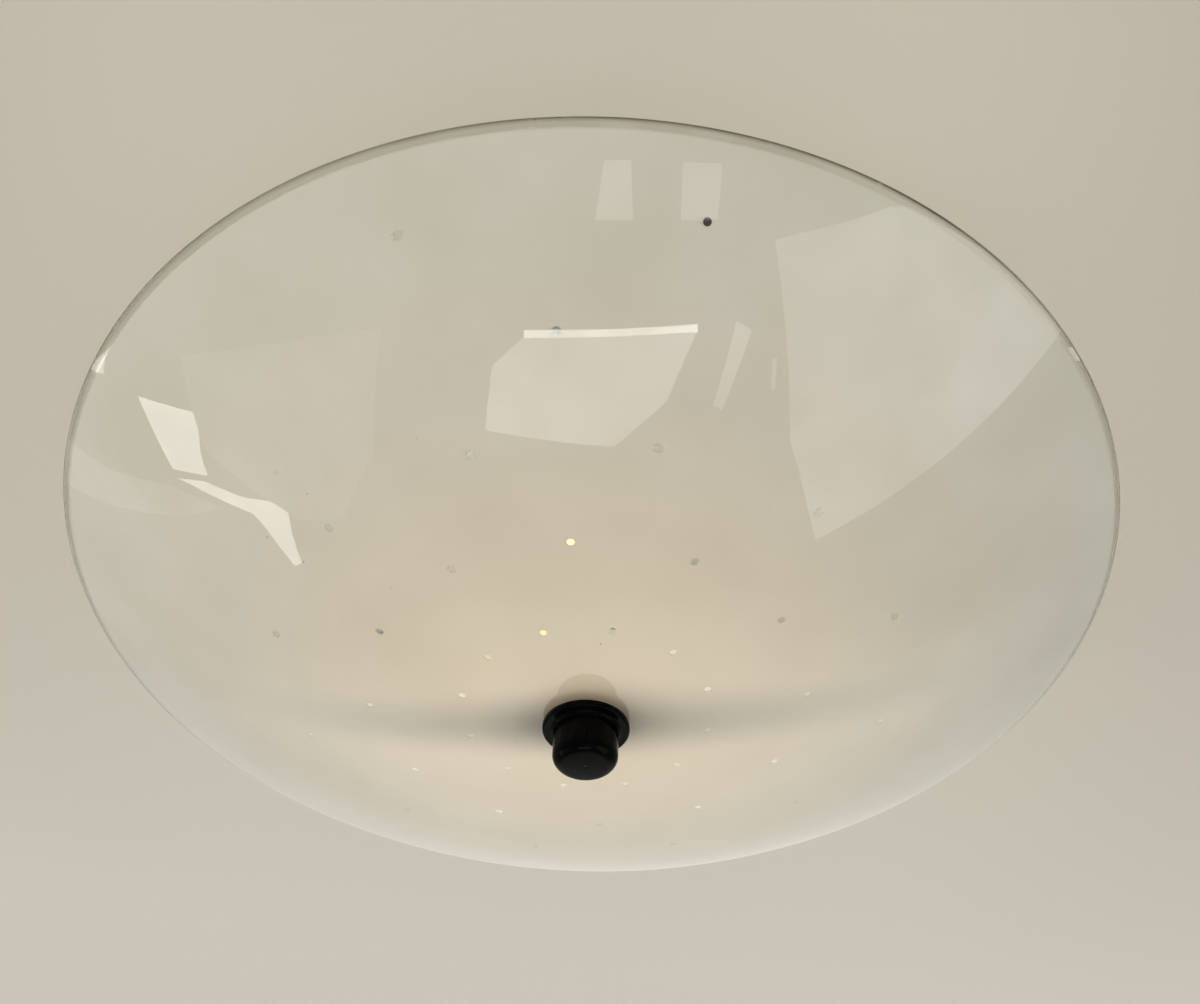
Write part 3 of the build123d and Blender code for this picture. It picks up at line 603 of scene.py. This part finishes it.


# Enamel's finish, with the bulbs' light painted into it: the painted glow fades towards the rim, and a band
# of painted shade crosses it at the finial. Lengths are in mm
coat = {
    # painted light: the tone is warmer towards the middle, for the bulbs' warm light through the coat
    "tones": ((0.0, "#bfb6a9"), (0.35, "#c2baae"), (0.75, "#cdc6be"), (1.0, "#cdc9c1")),  # middle to rim
    "cloud": 45.0,
    "cloudStops": ((0.3, "#f8f7f4"), (0.7, "#ffffff")),
    "speckSpacing": 24.0,
    "speckStops": ((0.012, "#8d8778"), (0.02, "#ffffff")),
    "glow": "#ffd9b0",
    "glowPeak": 0.19,
    "glowReach": 190.0,  # distance from the middle where it ends
    # painted shade: a band across the finial takes away part of the glow and darkens the base colour
    "bandDepth": 0.9,
    "bandWidth": 29.0,  # half width at the finial
    "bandSpread": -0.08,  # growth of the half width along the band
    "bandLeast": 12.0,
    "bandTilt": -0.005,
    "bandBend": 0.095,
    "bandOffset": 2.0,
    "shadeFall": 0.08,
    "shadeReach": 110.0,  # the band is also shaded round the finial, out to this distance
    "shadeStops": (
        (0.13, "#e0e0e0"), (0.19, "#dadada"), (0.27, "#b5b5b5"),
        (0.41, "#848484"), (0.59, "#696969"), (1.0, "#000000"),
    ),
    "through": 0.97,  # share of soft light that each face of the coat lets pass
}


def firedEnamel():
    # white vitreous enamel fired on the glass: pale grey with fine specks, a painted warm glow in the middle
    # and a painted shade band at the finial
    material, tree, place = startMaterial("firedEnamel")
    x, y, z, distance = aboutAxis(tree, place)
    outwards = add(tree, "MapRange", {"Value": distance, "From Max": dish["rimRadius"] * mm})
    tone = add(tree, "ValToRGB", {"Fac": outwards}, coat["tones"])
    cloud = add(tree, "TexNoise", {"Vector": place, "Scale": 1 / (coat["cloud"] * mm), "Detail": 3.0})
    drift = add(tree, "ValToRGB", {"Fac": cloud.outputs["Fac"]}, coat["cloudStops"])
    specks = add(tree, "TexVoronoi", {"Vector": place, "Scale": 1 / (coat["speckSpacing"] * mm)})
    dust = add(tree, "ValToRGB", {"Fac": specks.outputs["Distance"]}, coat["speckStops"])
    clouded = add(tree, "VectorMath", {0: tone, 1: drift}, operation="MULTIPLY")
    colour = add(tree, "VectorMath", {0: clouded, 1: dust}, operation="MULTIPLY")
    # painted shade band: its middle line is y = offset + tilt x + bend |x|, and its half width is width +
    # spread |x|
    side = add(tree, "Math", {0: x}, operation="ABSOLUTE")
    start, wide = coat["bandOffset"] * mm, coat["bandWidth"] * mm
    tilted = add(tree, "Math", {0: x, 1: coat["bandTilt"], 2: start}, operation="MULTIPLY_ADD")
    middle = add(tree, "Math", {0: side, 1: coat["bandBend"], 2: tilted}, operation="MULTIPLY_ADD")
    off = add(tree, "Math", {0: y, 1: middle}, operation="SUBTRACT")
    taper = add(tree, "Math", {0: side, 1: coat["bandSpread"], 2: wide}, operation="MULTIPLY_ADD")
    width = add(tree, "Math", {0: taper, 1: coat["bandLeast"] * mm}, operation="MAXIMUM")
    share = add(tree, "Math", {0: off, 1: width}, operation="DIVIDE")
    kept = add(tree, "MapRange", {
        "Value": add(tree, "Math", {0: share}, operation="ABSOLUTE"), "To Min": 1 - coat["bandDepth"],
    }, interpolation_type="SMOOTHSTEP")
    fade = add(tree, "MapRange", {
        "Value": distance, "From Max": coat["glowReach"] * mm, "To Min": coat["glowPeak"], "To Max": 0.0,
    }, interpolation_type="SMOOTHSTEP")
    light = add(tree, "Math", {0: fade, 1: kept}, operation="MULTIPLY")
    # the painted shade falls off a little faster to the right: distance + fall (x + |x|)
    right = add(tree, "Math", {0: x, 1: side}, operation="ADD")
    fallen = add(tree, "Math", {0: right, 1: coat["shadeFall"], 2: distance}, operation="MULTIPLY_ADD")
    reached = add(tree, "MapRange", {"Value": fallen, "From Max": coat["shadeReach"] * mm})
    near = add(tree, "ValToRGB", {"Fac": reached}, coat["shadeStops"])
    lost = add(tree, "Math", {0: 1.0, 1: kept}, operation="SUBTRACT")
    dim = add(tree, "Math", {0: near, 1: lost}, operation="MULTIPLY")
    left = add(tree, "Math", {0: 1.0, 1: dim}, operation="SUBTRACT")
    # the base colour carries the painted shade and the warm tone, the emission the painted glow
    enamelled = add(tree, "BsdfPrincipled", {
        "Base Color": add(tree, "VectorMath", {0: colour, "Scale": left}, operation="SCALE"),
        "Roughness": 0.45,
        "Specular IOR Level": 0.2,
        "Emission Color": linear(coat["glow"]),
        "Emission Strength": light,
    })
    # the thin coat lets most of the soft light through, to the inside and to the ceiling round it
    path = add(tree, "LightPath").outputs
    soft = add(tree, "Math", {0: path["Is Shadow Ray"], 1: path["Is Diffuse Ray"]}, operation="MAXIMUM")
    through = add(tree, "Math", {0: soft, 1: coat["through"]}, operation="MULTIPLY")
    mixed = add(tree, "MixShader", {0: through, 1: enamelled, 2: add(tree, "BsdfTransparent")})
    add(tree, "OutputMaterial", {"Surface": mixed})
    return material


def simpleFinish(name, stops, grain, roughness, bumpHeight, **sockets):
    # a base colour that drifts between hex stops over a grain in mm, with roughness and bump from finer noise
    material, tree, place = startMaterial(name)
    drift = add(tree, "TexNoise", {"Vector": place, "Scale": 1 / (grain * mm), "Detail": 4.0})
    fine = add(tree, "TexNoise", {"Vector": place, "Scale": 6 / (grain * mm), "Detail": 2.0})
    rough = add(tree, "MapRange", {
        "Value": fine.outputs["Fac"],
        "From Min": 0.3,
        "From Max": 0.7,
        "To Min": roughness[0],
        "To Max": roughness[1],
    })
    bump = add(tree, "Bump", {"Height": fine.outputs["Fac"], "Strength": 0.5, "Distance": bumpHeight * mm})
    shader = add(tree, "BsdfPrincipled", {
        "Base Color": add(tree, "ValToRGB", {"Fac": drift.outputs["Fac"]}, stops),
        "Roughness": rough,
        "Normal": bump,
        **{key.replace("_", " "): value for key, value in sockets.items()},
    })
    add(tree, "OutputMaterial", {"Surface": shader})
    return material


# Bulbs' glass and glow: brightest in a stripe along each bulb's axis, over the filament. Lengths are in mm
opal = {
    "cloud": 20.0,
    "stops": ((0.3, "#d8d0bb"), (0.7, "#e2dac6")),
    "roughness": (0.12, 0.22),
    "glowStops": ((0.0, "#fff0dc"), (1.0, "#ffe69c")),  # glass, stripe
    "glassGlow": 0.22,
    "stripeGlow": 0.9,
    "stripeWidth": (3.0, 8.0),  # half widths where it starts to fade and where it ends
    "stripeTop": (8.0, 16.0),  # heights over the axis where it starts to fade and where it ends
    "firstTurn": -90.0,
}


def opalBulbGlass():
    # opal bulb glass: milky white with a soft sheen, glowing warm
    material, tree, place = startMaterial("opalBulbGlass")
    x, y, z, radius = aboutAxis(tree, place)
    # distance across the nearest bulb's axis: r sin(turn from that axis), wrapped to half a share each way
    turn = add(tree, "Math", {0: y, 1: x}, operation="ARCTAN2")
    halfShare = math.pi / lampCap["arms"]
    fromAxis = add(tree, "Math", {0: turn, 1: math.radians(opal["firstTurn"])}, operation="SUBTRACT")
    wrapped = add(tree, "Math", {0: fromAxis, 1: halfShare, 2: -halfShare}, operation="WRAP")
    slant = add(tree, "Math", {0: wrapped}, operation="SINE")
    across = add(tree, "Math", {0: slant, 1: radius}, operation="MULTIPLY")
    stripe = add(tree, "MapRange", {
        "Value": add(tree, "Math", {0: across}, operation="ABSOLUTE"),
        "From Min": opal["stripeWidth"][0] * mm,
        "From Max": opal["stripeWidth"][1] * mm,
        "To Min": 1.0,
        "To Max": 0.0,
    }, interpolation_type="SMOOTHSTEP")
    lower = add(tree, "MapRange", {
        "Value": z,
        "From Min": (lampCap["axisZ"] + opal["stripeTop"][0]) * mm,
        "From Max": (lampCap["axisZ"] + opal["stripeTop"][1]) * mm,
        "To Min": 1.0,
        "To Max": 0.0,
    }, interpolation_type="SMOOTHSTEP")
    lit = add(tree, "Math", {0: stripe, 1: lower}, operation="MULTIPLY")
    cloud = add(tree, "TexNoise", {"Vector": place, "Scale": 1 / (opal["cloud"] * mm), "Detail": 4.0})
    drift = cloud.outputs["Fac"]
    shader = add(tree, "BsdfPrincipled", {
        "Base Color": add(tree, "ValToRGB", {"Fac": drift}, opal["stops"]),
        "Roughness": add(tree, "MapRange", {
            "Value": drift, "To Min": opal["roughness"][0], "To Max": opal["roughness"][1],
        }),
        "Emission Color": add(tree, "ValToRGB", {"Fac": lit}, opal["glowStops"]),
        "Emission Strength": add(tree, "MapRange", {
            "Value": lit, "To Min": opal["glassGlow"], "To Max": opal["stripeGlow"],
        }),
    })
    add(tree, "OutputMaterial", {"Surface": shader})
    return material


zinc = {
    "spangle": 3.5,
    "cloud": 12.0,
    "stops": ((0.35, "#a3a199"), (0.65, "#b5b5b0")),
    "roughness": (0.27, 0.42),
}


def zincPlate():
    # bright zinc-plated steel: grey metal with a soft spangle and a faint yellow passivation
    material, tree, place = startMaterial("zincPlatedSteel")
    spangle = add(tree, "TexVoronoi", {"Vector": place, "Scale": 1 / (zinc["spangle"] * mm)})
    drift = add(tree, "TexNoise", {"Vector": place, "Scale": 1 / (zinc["cloud"] * mm), "Detail": 3.0})
    shader = add(tree, "BsdfPrincipled", {
        "Base Color": add(tree, "ValToRGB", {"Fac": drift.outputs["Fac"]}, zinc["stops"]),
        "Metallic": 1.0,
        "Roughness": add(tree, "MapRange", {
            "Value": spangle.outputs["Color"], "To Min": zinc["roughness"][0], "To Max": zinc["roughness"][1],
        }),
    })
    add(tree, "OutputMaterial", {"Surface": shader})
    return material


# Plain finishes: colour stops, grain in mm, range of roughness, height of the bump in mm
finishes = {
    "clear_glass": sodaLimeGlass(),
    "white_enamel": firedEnamel(),
    # pressed bakelite: deep black and glossy, with faint swirl and dust
    "black_bakelite": simpleFinish(
        "pressedBakelite", ((0.3, "#020202"), (0.7, "#050606")), 6, (0.06, 0.12), 0.004,
        IOR=1.58, Specular_IOR_Level=0.025,
    ),
    # turned brass: warm yellow metal, a little dulled
    "brass": simpleFinish(
        "turnedBrass", ((0.3, "#a88243"), (0.7, "#c9a562")), 8, (0.22, 0.38), 0.01, Metallic=1.0,
    ),
    # moulded rubber: near black, dry and slightly chalky
    "rubber": simpleFinish("mouldedRubber", ((0.3, "#1b1a18"), (0.7, "#2a2926")), 5, (0.6, 0.8), 0.04),
    "zinc_steel": zincPlate(),
    # stove-enamelled sheet: white lacquer with a little orange peel
    "white_painted_steel": simpleFinish(
        "whiteLacquer", ((0.3, "#dbd8cf"), (0.7, "#e1ded5")), 14, (0.28, 0.36), 0.02,
    ),
    # glazed porcelain: bright and glassy, faintly uneven
    "porcelain": simpleFinish(
        "glazedPorcelain", ((0.3, "#e3e0d6"), (0.7, "#e9e6dd")), 14, (0.08, 0.13), 0.004,
    ),
    "opal_glass": opalBulbGlass(),
    # cap insulator: black vitrite glass
    "black_glass": simpleFinish("blackVitrite", ((0.3, "#07070a"), (0.7, "#111114")), 4, (0.08, 0.2), 0.01),
    # cable insulation: soft PVC with a faint sheen
    "brown_wire": simpleFinish("brownPvc", ((0.3, "#4a2716"), (0.7, "#5c3420")), 7, (0.35, 0.48), 0.01),
    "blue_wire": simpleFinish("bluePvc", ((0.3, "#1b3f7d"), (0.7, "#2a5398")), 7, (0.35, 0.48), 0.01),
    # moulded nylon: black with a soft satin skin
    "black_nylon": simpleFinish("blackNylon", ((0.3, "#121212"), (0.7, "#1d1d1c")), 5, (0.4, 0.55), 0.02),
}
print("materials made:", len(finishes))

for subpart in frame["record"]["subparts"]:
    node = frame["nodes"][subpart["node"]]
    for materialSlot in node.material_slots:
        materialSlot.material = finishes[subpart["material_slot"]]
print("finishes on the frame's nodes")

buildGlassDish(finishes["clear_glass"])
buildEnamelCoat(finishes["white_enamel"])
buildFinialKnob(finishes["black_bakelite"])
buildStemThread(finishes["zinc_steel"])
for armNumber in range(1, lampCap["arms"] + 1):
    buildLampCap(armNumber, finishes["brass"])
print("dish, enamel, finial and threads built")


# Stage: a pale ceiling that is seen from below only, so that the light can be looked into from above. It is
# painted lighter to the far side, with painted shade at the near sides and over the dish. Lengths are in
# metres

stage = {
    "half": 6.0,
    "height": 0.0005,
    # painted light: the ceiling's tone is lighter to the far side
    "tones": ((0.0, "#c7c0b6"), (1.0, "#cecbc3")),  # near, far
    "slant": -0.3,
    "fade": (-0.3, 0.4),  # where y + slant x starts and ends the change of tone
    # painted shade on the ceiling at the left and right of the near side
    "sideShade": 0.2,  # share of the tone that is lost at the left and right, on the near side
    "sideRun": (0.1, 0.35),
    # painted shade: a dark patch on the ceiling over the dish's near right side
    "patchShade": 0.97,  # share that is lost in a dark patch over the dish's near right side
    "patchReach": (0.17, 0.2),
    "patchY": (-0.13, -0.06),
    "patchX": (-0.06, 0.02),
}


def buildCeiling():
    material, tree, place = startMaterial("paleCeiling")
    path = add(tree, "LightPath").outputs
    behind = add(tree, "NewGeometry").outputs["Backfacing"]
    seen = add(tree, "Math", {0: path["Is Camera Ray"], 1: path["Is Transmission Ray"]}, operation="MAXIMUM")
    front = add(tree, "Math", {0: 1.0, 1: behind}, operation="SUBTRACT")
    shown = add(tree, "Math", {0: seen, 1: front}, operation="MULTIPLY")
    # painted light: the paint is lighter towards the far side
    x, y, z, distance = aboutAxis(tree, place)
    ahead = add(tree, "Math", {0: x, 1: stage["slant"], 2: y}, operation="MULTIPLY_ADD")
    share = add(tree, "MapRange", {
        "Value": ahead, "From Min": stage["fade"][0], "From Max": stage["fade"][1],
    })
    tone = add(tree, "ValToRGB", {"Fac": share}, stage["tones"])
    # patch of painted shade: within reach of the axis, and falling off to the far side and to the left
    within = add(tree, "MapRange", {
        "Value": distance,
        "From Min": stage["patchReach"][0],
        "From Max": stage["patchReach"][1],
        "To Min": stage["patchShade"],
        "To Max": 0.0,
    }, interpolation_type="SMOOTHSTEP")
    nearSide = add(tree, "MapRange", {
        "Value": y,
        "From Min": stage["patchY"][0],
        "From Max": stage["patchY"][1],
        "To Min": 1.0,
        "To Max": 0.0,
    }, interpolation_type="SMOOTHSTEP")
    rightSide = add(tree, "MapRange", {
        "Value": x, "From Min": stage["patchX"][0], "From Max": stage["patchX"][1],
    }, interpolation_type="SMOOTHSTEP")
    corner = add(tree, "Math", {0: nearSide, 1: rightSide}, operation="MULTIPLY")
    patch = add(tree, "Math", {0: within, 1: corner}, operation="MULTIPLY")
    # the painted shade at the sides fades towards the far side
    sideways = add(tree, "MapRange", {
        "Value": add(tree, "Math", {0: x}, operation="ABSOLUTE"),
        "From Min": stage["sideRun"][0],
        "From Max": stage["sideRun"][1],
        "To Max": stage["sideShade"],
    }, interpolation_type="SMOOTHSTEP")
    nearer = add(tree, "Math", {0: 1.0, 1: share}, operation="SUBTRACT")
    lost = add(tree, "Math", {0: sideways, 1: nearer, 2: patch}, operation="MULTIPLY_ADD")
    level = add(tree, "Math", {0: 1.0, 1: lost}, operation="SUBTRACT")
    shaded = add(tree, "VectorMath", {0: tone, "Scale": level}, operation="SCALE")
    paint = add(tree, "BsdfDiffuse", {"Color": shaded})
    mixed = add(tree, "MixShader", {0: shown, 1: add(tree, "BsdfTransparent"), 2: paint})
    add(tree, "OutputMaterial", {"Surface": mixed})
    half, height = stage["half"], stage["height"]
    corners = ((-half, -half), (-half, half), (half, half), (half, -half))
    putStage("ceiling", [corner + (height,) for corner in corners], material)


room = {
    "lag": -0.6,  # the room brightens towards its far side, later at the left and right: y + lag |x|
    "wallStops": (
        (0.0, "#747370"), (0.62, "#7c7b77"), (0.66, "#a09e98"),
        (0.75, "#cbc8c0"), (0.83, "#e2dfd7"), (1.0, "#d0cdc5"),
    ),
    "overheadStops": ((0.68, "#868580"), (0.93, "#aaa8a0")),
    "overheadFrom": (-0.5, 0.05),  # z of the direction where the walls give way to the dimmer ceiling
    "gloss": 2.0,
    "softStops": ((0.0, "#f2f0ea"), (1.0, "#858480")),  # from the left, from the right
    "soft": 1.01,
    "backdrop": "#d6d2c8",
}


def buildWorld():
    world = bpy.data.worlds.new("paleRoom")
    world.use_nodes = True
    tree = world.node_tree
    tree.nodes.clear()
    # soft light falls on the object, gloss shows a dim room, and the eye sees a pale backdrop
    path = add(tree, "LightPath").outputs
    seen = add(tree, "Math", {0: path["Is Camera Ray"], 1: path["Is Transmission Ray"]}, operation="MAXIMUM")
    x, y, z = add(tree, "SeparateXYZ", {"Vector": add(tree, "TexCoord").outputs["Generated"]}).outputs
    side = add(tree, "Math", {0: x}, operation="ABSOLUTE")
    ahead = add(tree, "Math", {0: side, 1: room["lag"], 2: y}, operation="MULTIPLY_ADD")
    share = add(tree, "MapRange", {"Value": ahead, "From Min": -1.0})
    wallTone = add(tree, "ValToRGB", {"Fac": share}, room["wallStops"])
    overheadTone = add(tree, "ValToRGB", {"Fac": share}, room["overheadStops"])
    upward = add(tree, "MapRange", {
        "Value": z, "From Min": room["overheadFrom"][0], "From Max": room["overheadFrom"][1],
    }, interpolation_type="SMOOTHSTEP")
    mirroredRoom = add(tree, "MixShader", {
        0: upward,
        1: add(tree, "Background", {"Color": wallTone, "Strength": room["gloss"]}),
        2: add(tree, "Background", {"Color": overheadTone, "Strength": room["gloss"]}),
    })
    fromSide = add(tree, "MapRange", {"Value": x, "From Min": -1.0})
    softTone = add(tree, "ValToRGB", {"Fac": fromSide}, room["softStops"])
    soft = add(tree, "Background", {"Color": softTone, "Strength": room["soft"]})
    backdrop = add(tree, "Background", {"Color": linear(room["backdrop"])})
    unseen = add(tree, "MixShader", {0: path["Is Glossy Ray"], 1: soft, 2: mirroredRoom})
    mixed = add(tree, "MixShader", {0: seen, 1: unseen, 2: backdrop})
    add(tree, "OutputWorld", {"Surface": mixed})
    bpy.context.scene.world = world


# Windows and pale walls: glowing cards that the glass mirrors. The corners are the picture points where the
# mirror image of each lies, in pixels of the whole frame, with the radiance after them

windows = {
    "floorWindow": (
        ((485, 430), (492, 366), (523, 338), (697, 331), (677, 377), (668, 400), (614, 447)), 2.8,
    ),
    "floorSill": (((524, 330), (698, 324), (698, 332), (524, 338)), 8.0),
    "floorStrip": (((737, 321), (752, 330), (722, 410), (713, 405)), 2.3),
    "floorStreak": (((772, 358), (777, 358), (775, 390), (771, 390)), 1.9),
    "nearPaneOne": (((604, 160), (631, 160), (633, 220), (595, 220)), 2.1),
    "nearPaneTwo": (((683, 163), (722, 165), (718, 220), (680, 220)), 2.0),
    "leftWindow": (((138, 396), (198, 413), (201, 454), (208, 476), (173, 469)), 5.0),
    "leftStreak": (((177, 478), (204, 481), (242, 497), (253, 514), (230, 504), (192, 485)), 5.0),
    "leftSill": (((242, 497), (287, 503), (292, 533), (302, 563), (295, 566), (265, 527), (253, 514)), 5.0),
    "leftWall": (
        ((180, 355), (383, 327), (378, 350), (374, 450), (342, 520), (300, 520), (240, 480), (205, 450)),
        0.85,
    ),
    "leftBand": (((68, 440), (110, 470), (170, 485), (225, 508), (180, 516), (110, 505), (66, 483)), 0.9),
    "leftGlint": (((88, 368), (104, 352), (106, 376)), 4.0),
    "rightWall": (((775, 240), (905, 205), (1012, 268), (1062, 330), (815, 540), (790, 440)), 2.0),
    "rightGlint": (((1068, 348), (1080, 344), (1090, 364), (1076, 360)), 4.0),
}
card = {
    "reach": 2.2,  # metres from the glass to each corner
    "colour": "#fffdf6",
    "cloudScale": 3.5,  # clouds to a metre
    "dimmest": 0.8,
    "brightest": 1.15,
}


def mirrored(corner, camera):
    # the sight line through a picture point meets the glass's sphere and bounces: d - 2 (d . n) n
    eye = np.array(camera.matrix_world.translation)
    axes = np.array(camera.matrix_world.to_3x3())
    across = corner[0] - view["imageWidth"] / 2
    down = corner[1] - view["imageHeight"] / 2
    sight = axes @ np.array((across, -down, -view["focalPixels"]))
    sight /= np.linalg.norm(sight)
    fromCentre = eye - np.array((0, 0, sphereZ * mm))
    half = sight @ fromCentre
    run = -half - math.sqrt(half ** 2 - fromCentre @ fromCentre + (sphereRadius * mm) ** 2)
    normal = (fromCentre + run * sight) / (sphereRadius * mm)
    bounced = sight - 2 * (sight @ normal) * normal
    return tuple(eye + run * sight + card["reach"] * bounced)


def buildWindows(camera):
    for name, (corners, radiance) in windows.items():
        material, tree, place = startMaterial(name)
        cloud = add(tree, "TexNoise", {"Vector": place, "Scale": card["cloudScale"], "Detail": 2.0})
        level = add(tree, "MapRange", {
            "Value": cloud.outputs["Fac"],
            "From Min": 0.3,
            "From Max": 0.7,
            "To Min": radiance * card["dimmest"],
            "To Max": radiance * card["brightest"],
        })
        shine = add(tree, "Emission", {"Color": linear(card["colour"]), "Strength": level})
        add(tree, "OutputMaterial", {"Surface": shine})
        sheet = putStage(name, [mirrored(corner, camera) for corner in corners], material)
        sheet.visible_camera = False


# Soft lamps that light the object and aren't mirrored: middle, width, height, radiance and colour

lamps = {
    "leftWindowLight": ((-1.9, -0.03, -0.72), 0.5, 0.35, 5.0, "#ffefdb"),
    "rightWindowLight": ((1.9, -0.13, -0.72), 0.5, 0.35, 0.4, "#ffefdb"),
    "farWallLight": ((0.0, 2.4, -0.9), 2.4, 1.0, 2.1, "#fbf8f0"),
    "nearWallLight": ((0.0, -2.4, -0.9), 2.4, 1.0, 1.7, "#fbf6ea"),
}


def buildLamps():
    for name, (middle, width, height, radiance, hexText) in lamps.items():
        light = bpy.data.lights.new(name, "AREA")
        light.shape = "RECTANGLE"
        light.size = width
        light.size_y = height
        light.color = linear(hexText)[:3]
        light.energy = radiance * math.pi * width * height  # radiance = power / (pi x area)
        lamp = bpy.data.objects.new(name, light)
        aim = (Vector((0, 0, poleZ * mm)) - Vector(middle)).to_track_quat("-Z", "Y")
        lamp.matrix_world = Matrix.Translation(middle) @ aim.to_matrix().to_4x4()
        lamp.visible_glossy = False
        bpy.context.scene.collection.objects.link(lamp)


# Camera: looks up at the dish from a distance and elevation about the middle of its rim

view = {
    "below": 43.1,  # degrees under the rim's plane
    "distance": 2.4941,  # rim radii
    "pitch": 4.24,
    "yaw": 0.33,
    "roll": 1.69,
    "turn": 4.84,  # about Z
    "focalPixels": 1267.0,
    "imageWidth": 1200.0,
    "imageHeight": 1004.0,
    "sensor": 36.0,
}


def buildCamera():
    below, pitch, yaw, roll, turn = (math.radians(view[k]) for k in ("below", "pitch", "yaw", "roll", "turn"))
    reach = view["distance"] * dish["rimRadius"] * mm
    eye = Vector((0, -math.cos(below), -math.sin(below))) * reach
    forward = -eye.normalized()
    right = forward.cross(Vector((0, 0, 1))).normalized()
    up = right.cross(forward)
    # tilt up by the pitch, turn right by the yaw, then roll about the line of sight
    forward = forward * math.cos(pitch) + up * math.sin(pitch)
    up = right.cross(forward)
    forward = forward * math.cos(yaw) + right * math.sin(yaw)
    right = forward.cross(up)
    up = right.cross(forward)
    right = right * math.cos(roll) + up * math.sin(roll)
    up = right.cross(forward)
    axes = Matrix((right, up, -forward)).transposed().to_4x4()
    place = Matrix.Translation(eye) @ axes
    camera = bpy.data.cameras.new("photoCamera")
    camera.sensor_width = view["sensor"]
    camera.lens = view["focalPixels"] / view["imageWidth"] * view["sensor"]
    camera.clip_start = 0.01
    eyePiece = bpy.data.objects.new("photoCamera", camera)
    rimMiddle = Matrix.Translation((0, 0, -dish["rimDrop"] * mm))
    eyePiece.matrix_world = rimMiddle @ Matrix.Rotation(turn, 4, "Z") @ place
    bpy.context.scene.collection.objects.link(eyePiece)
    bpy.context.scene.camera = eyePiece
    return eyePiece


buildCeiling()
buildWorld()
buildWindows(buildCamera())
buildLamps()
bpy.context.scene.view_settings.view_transform = "Standard"
print("stage, light and camera set")
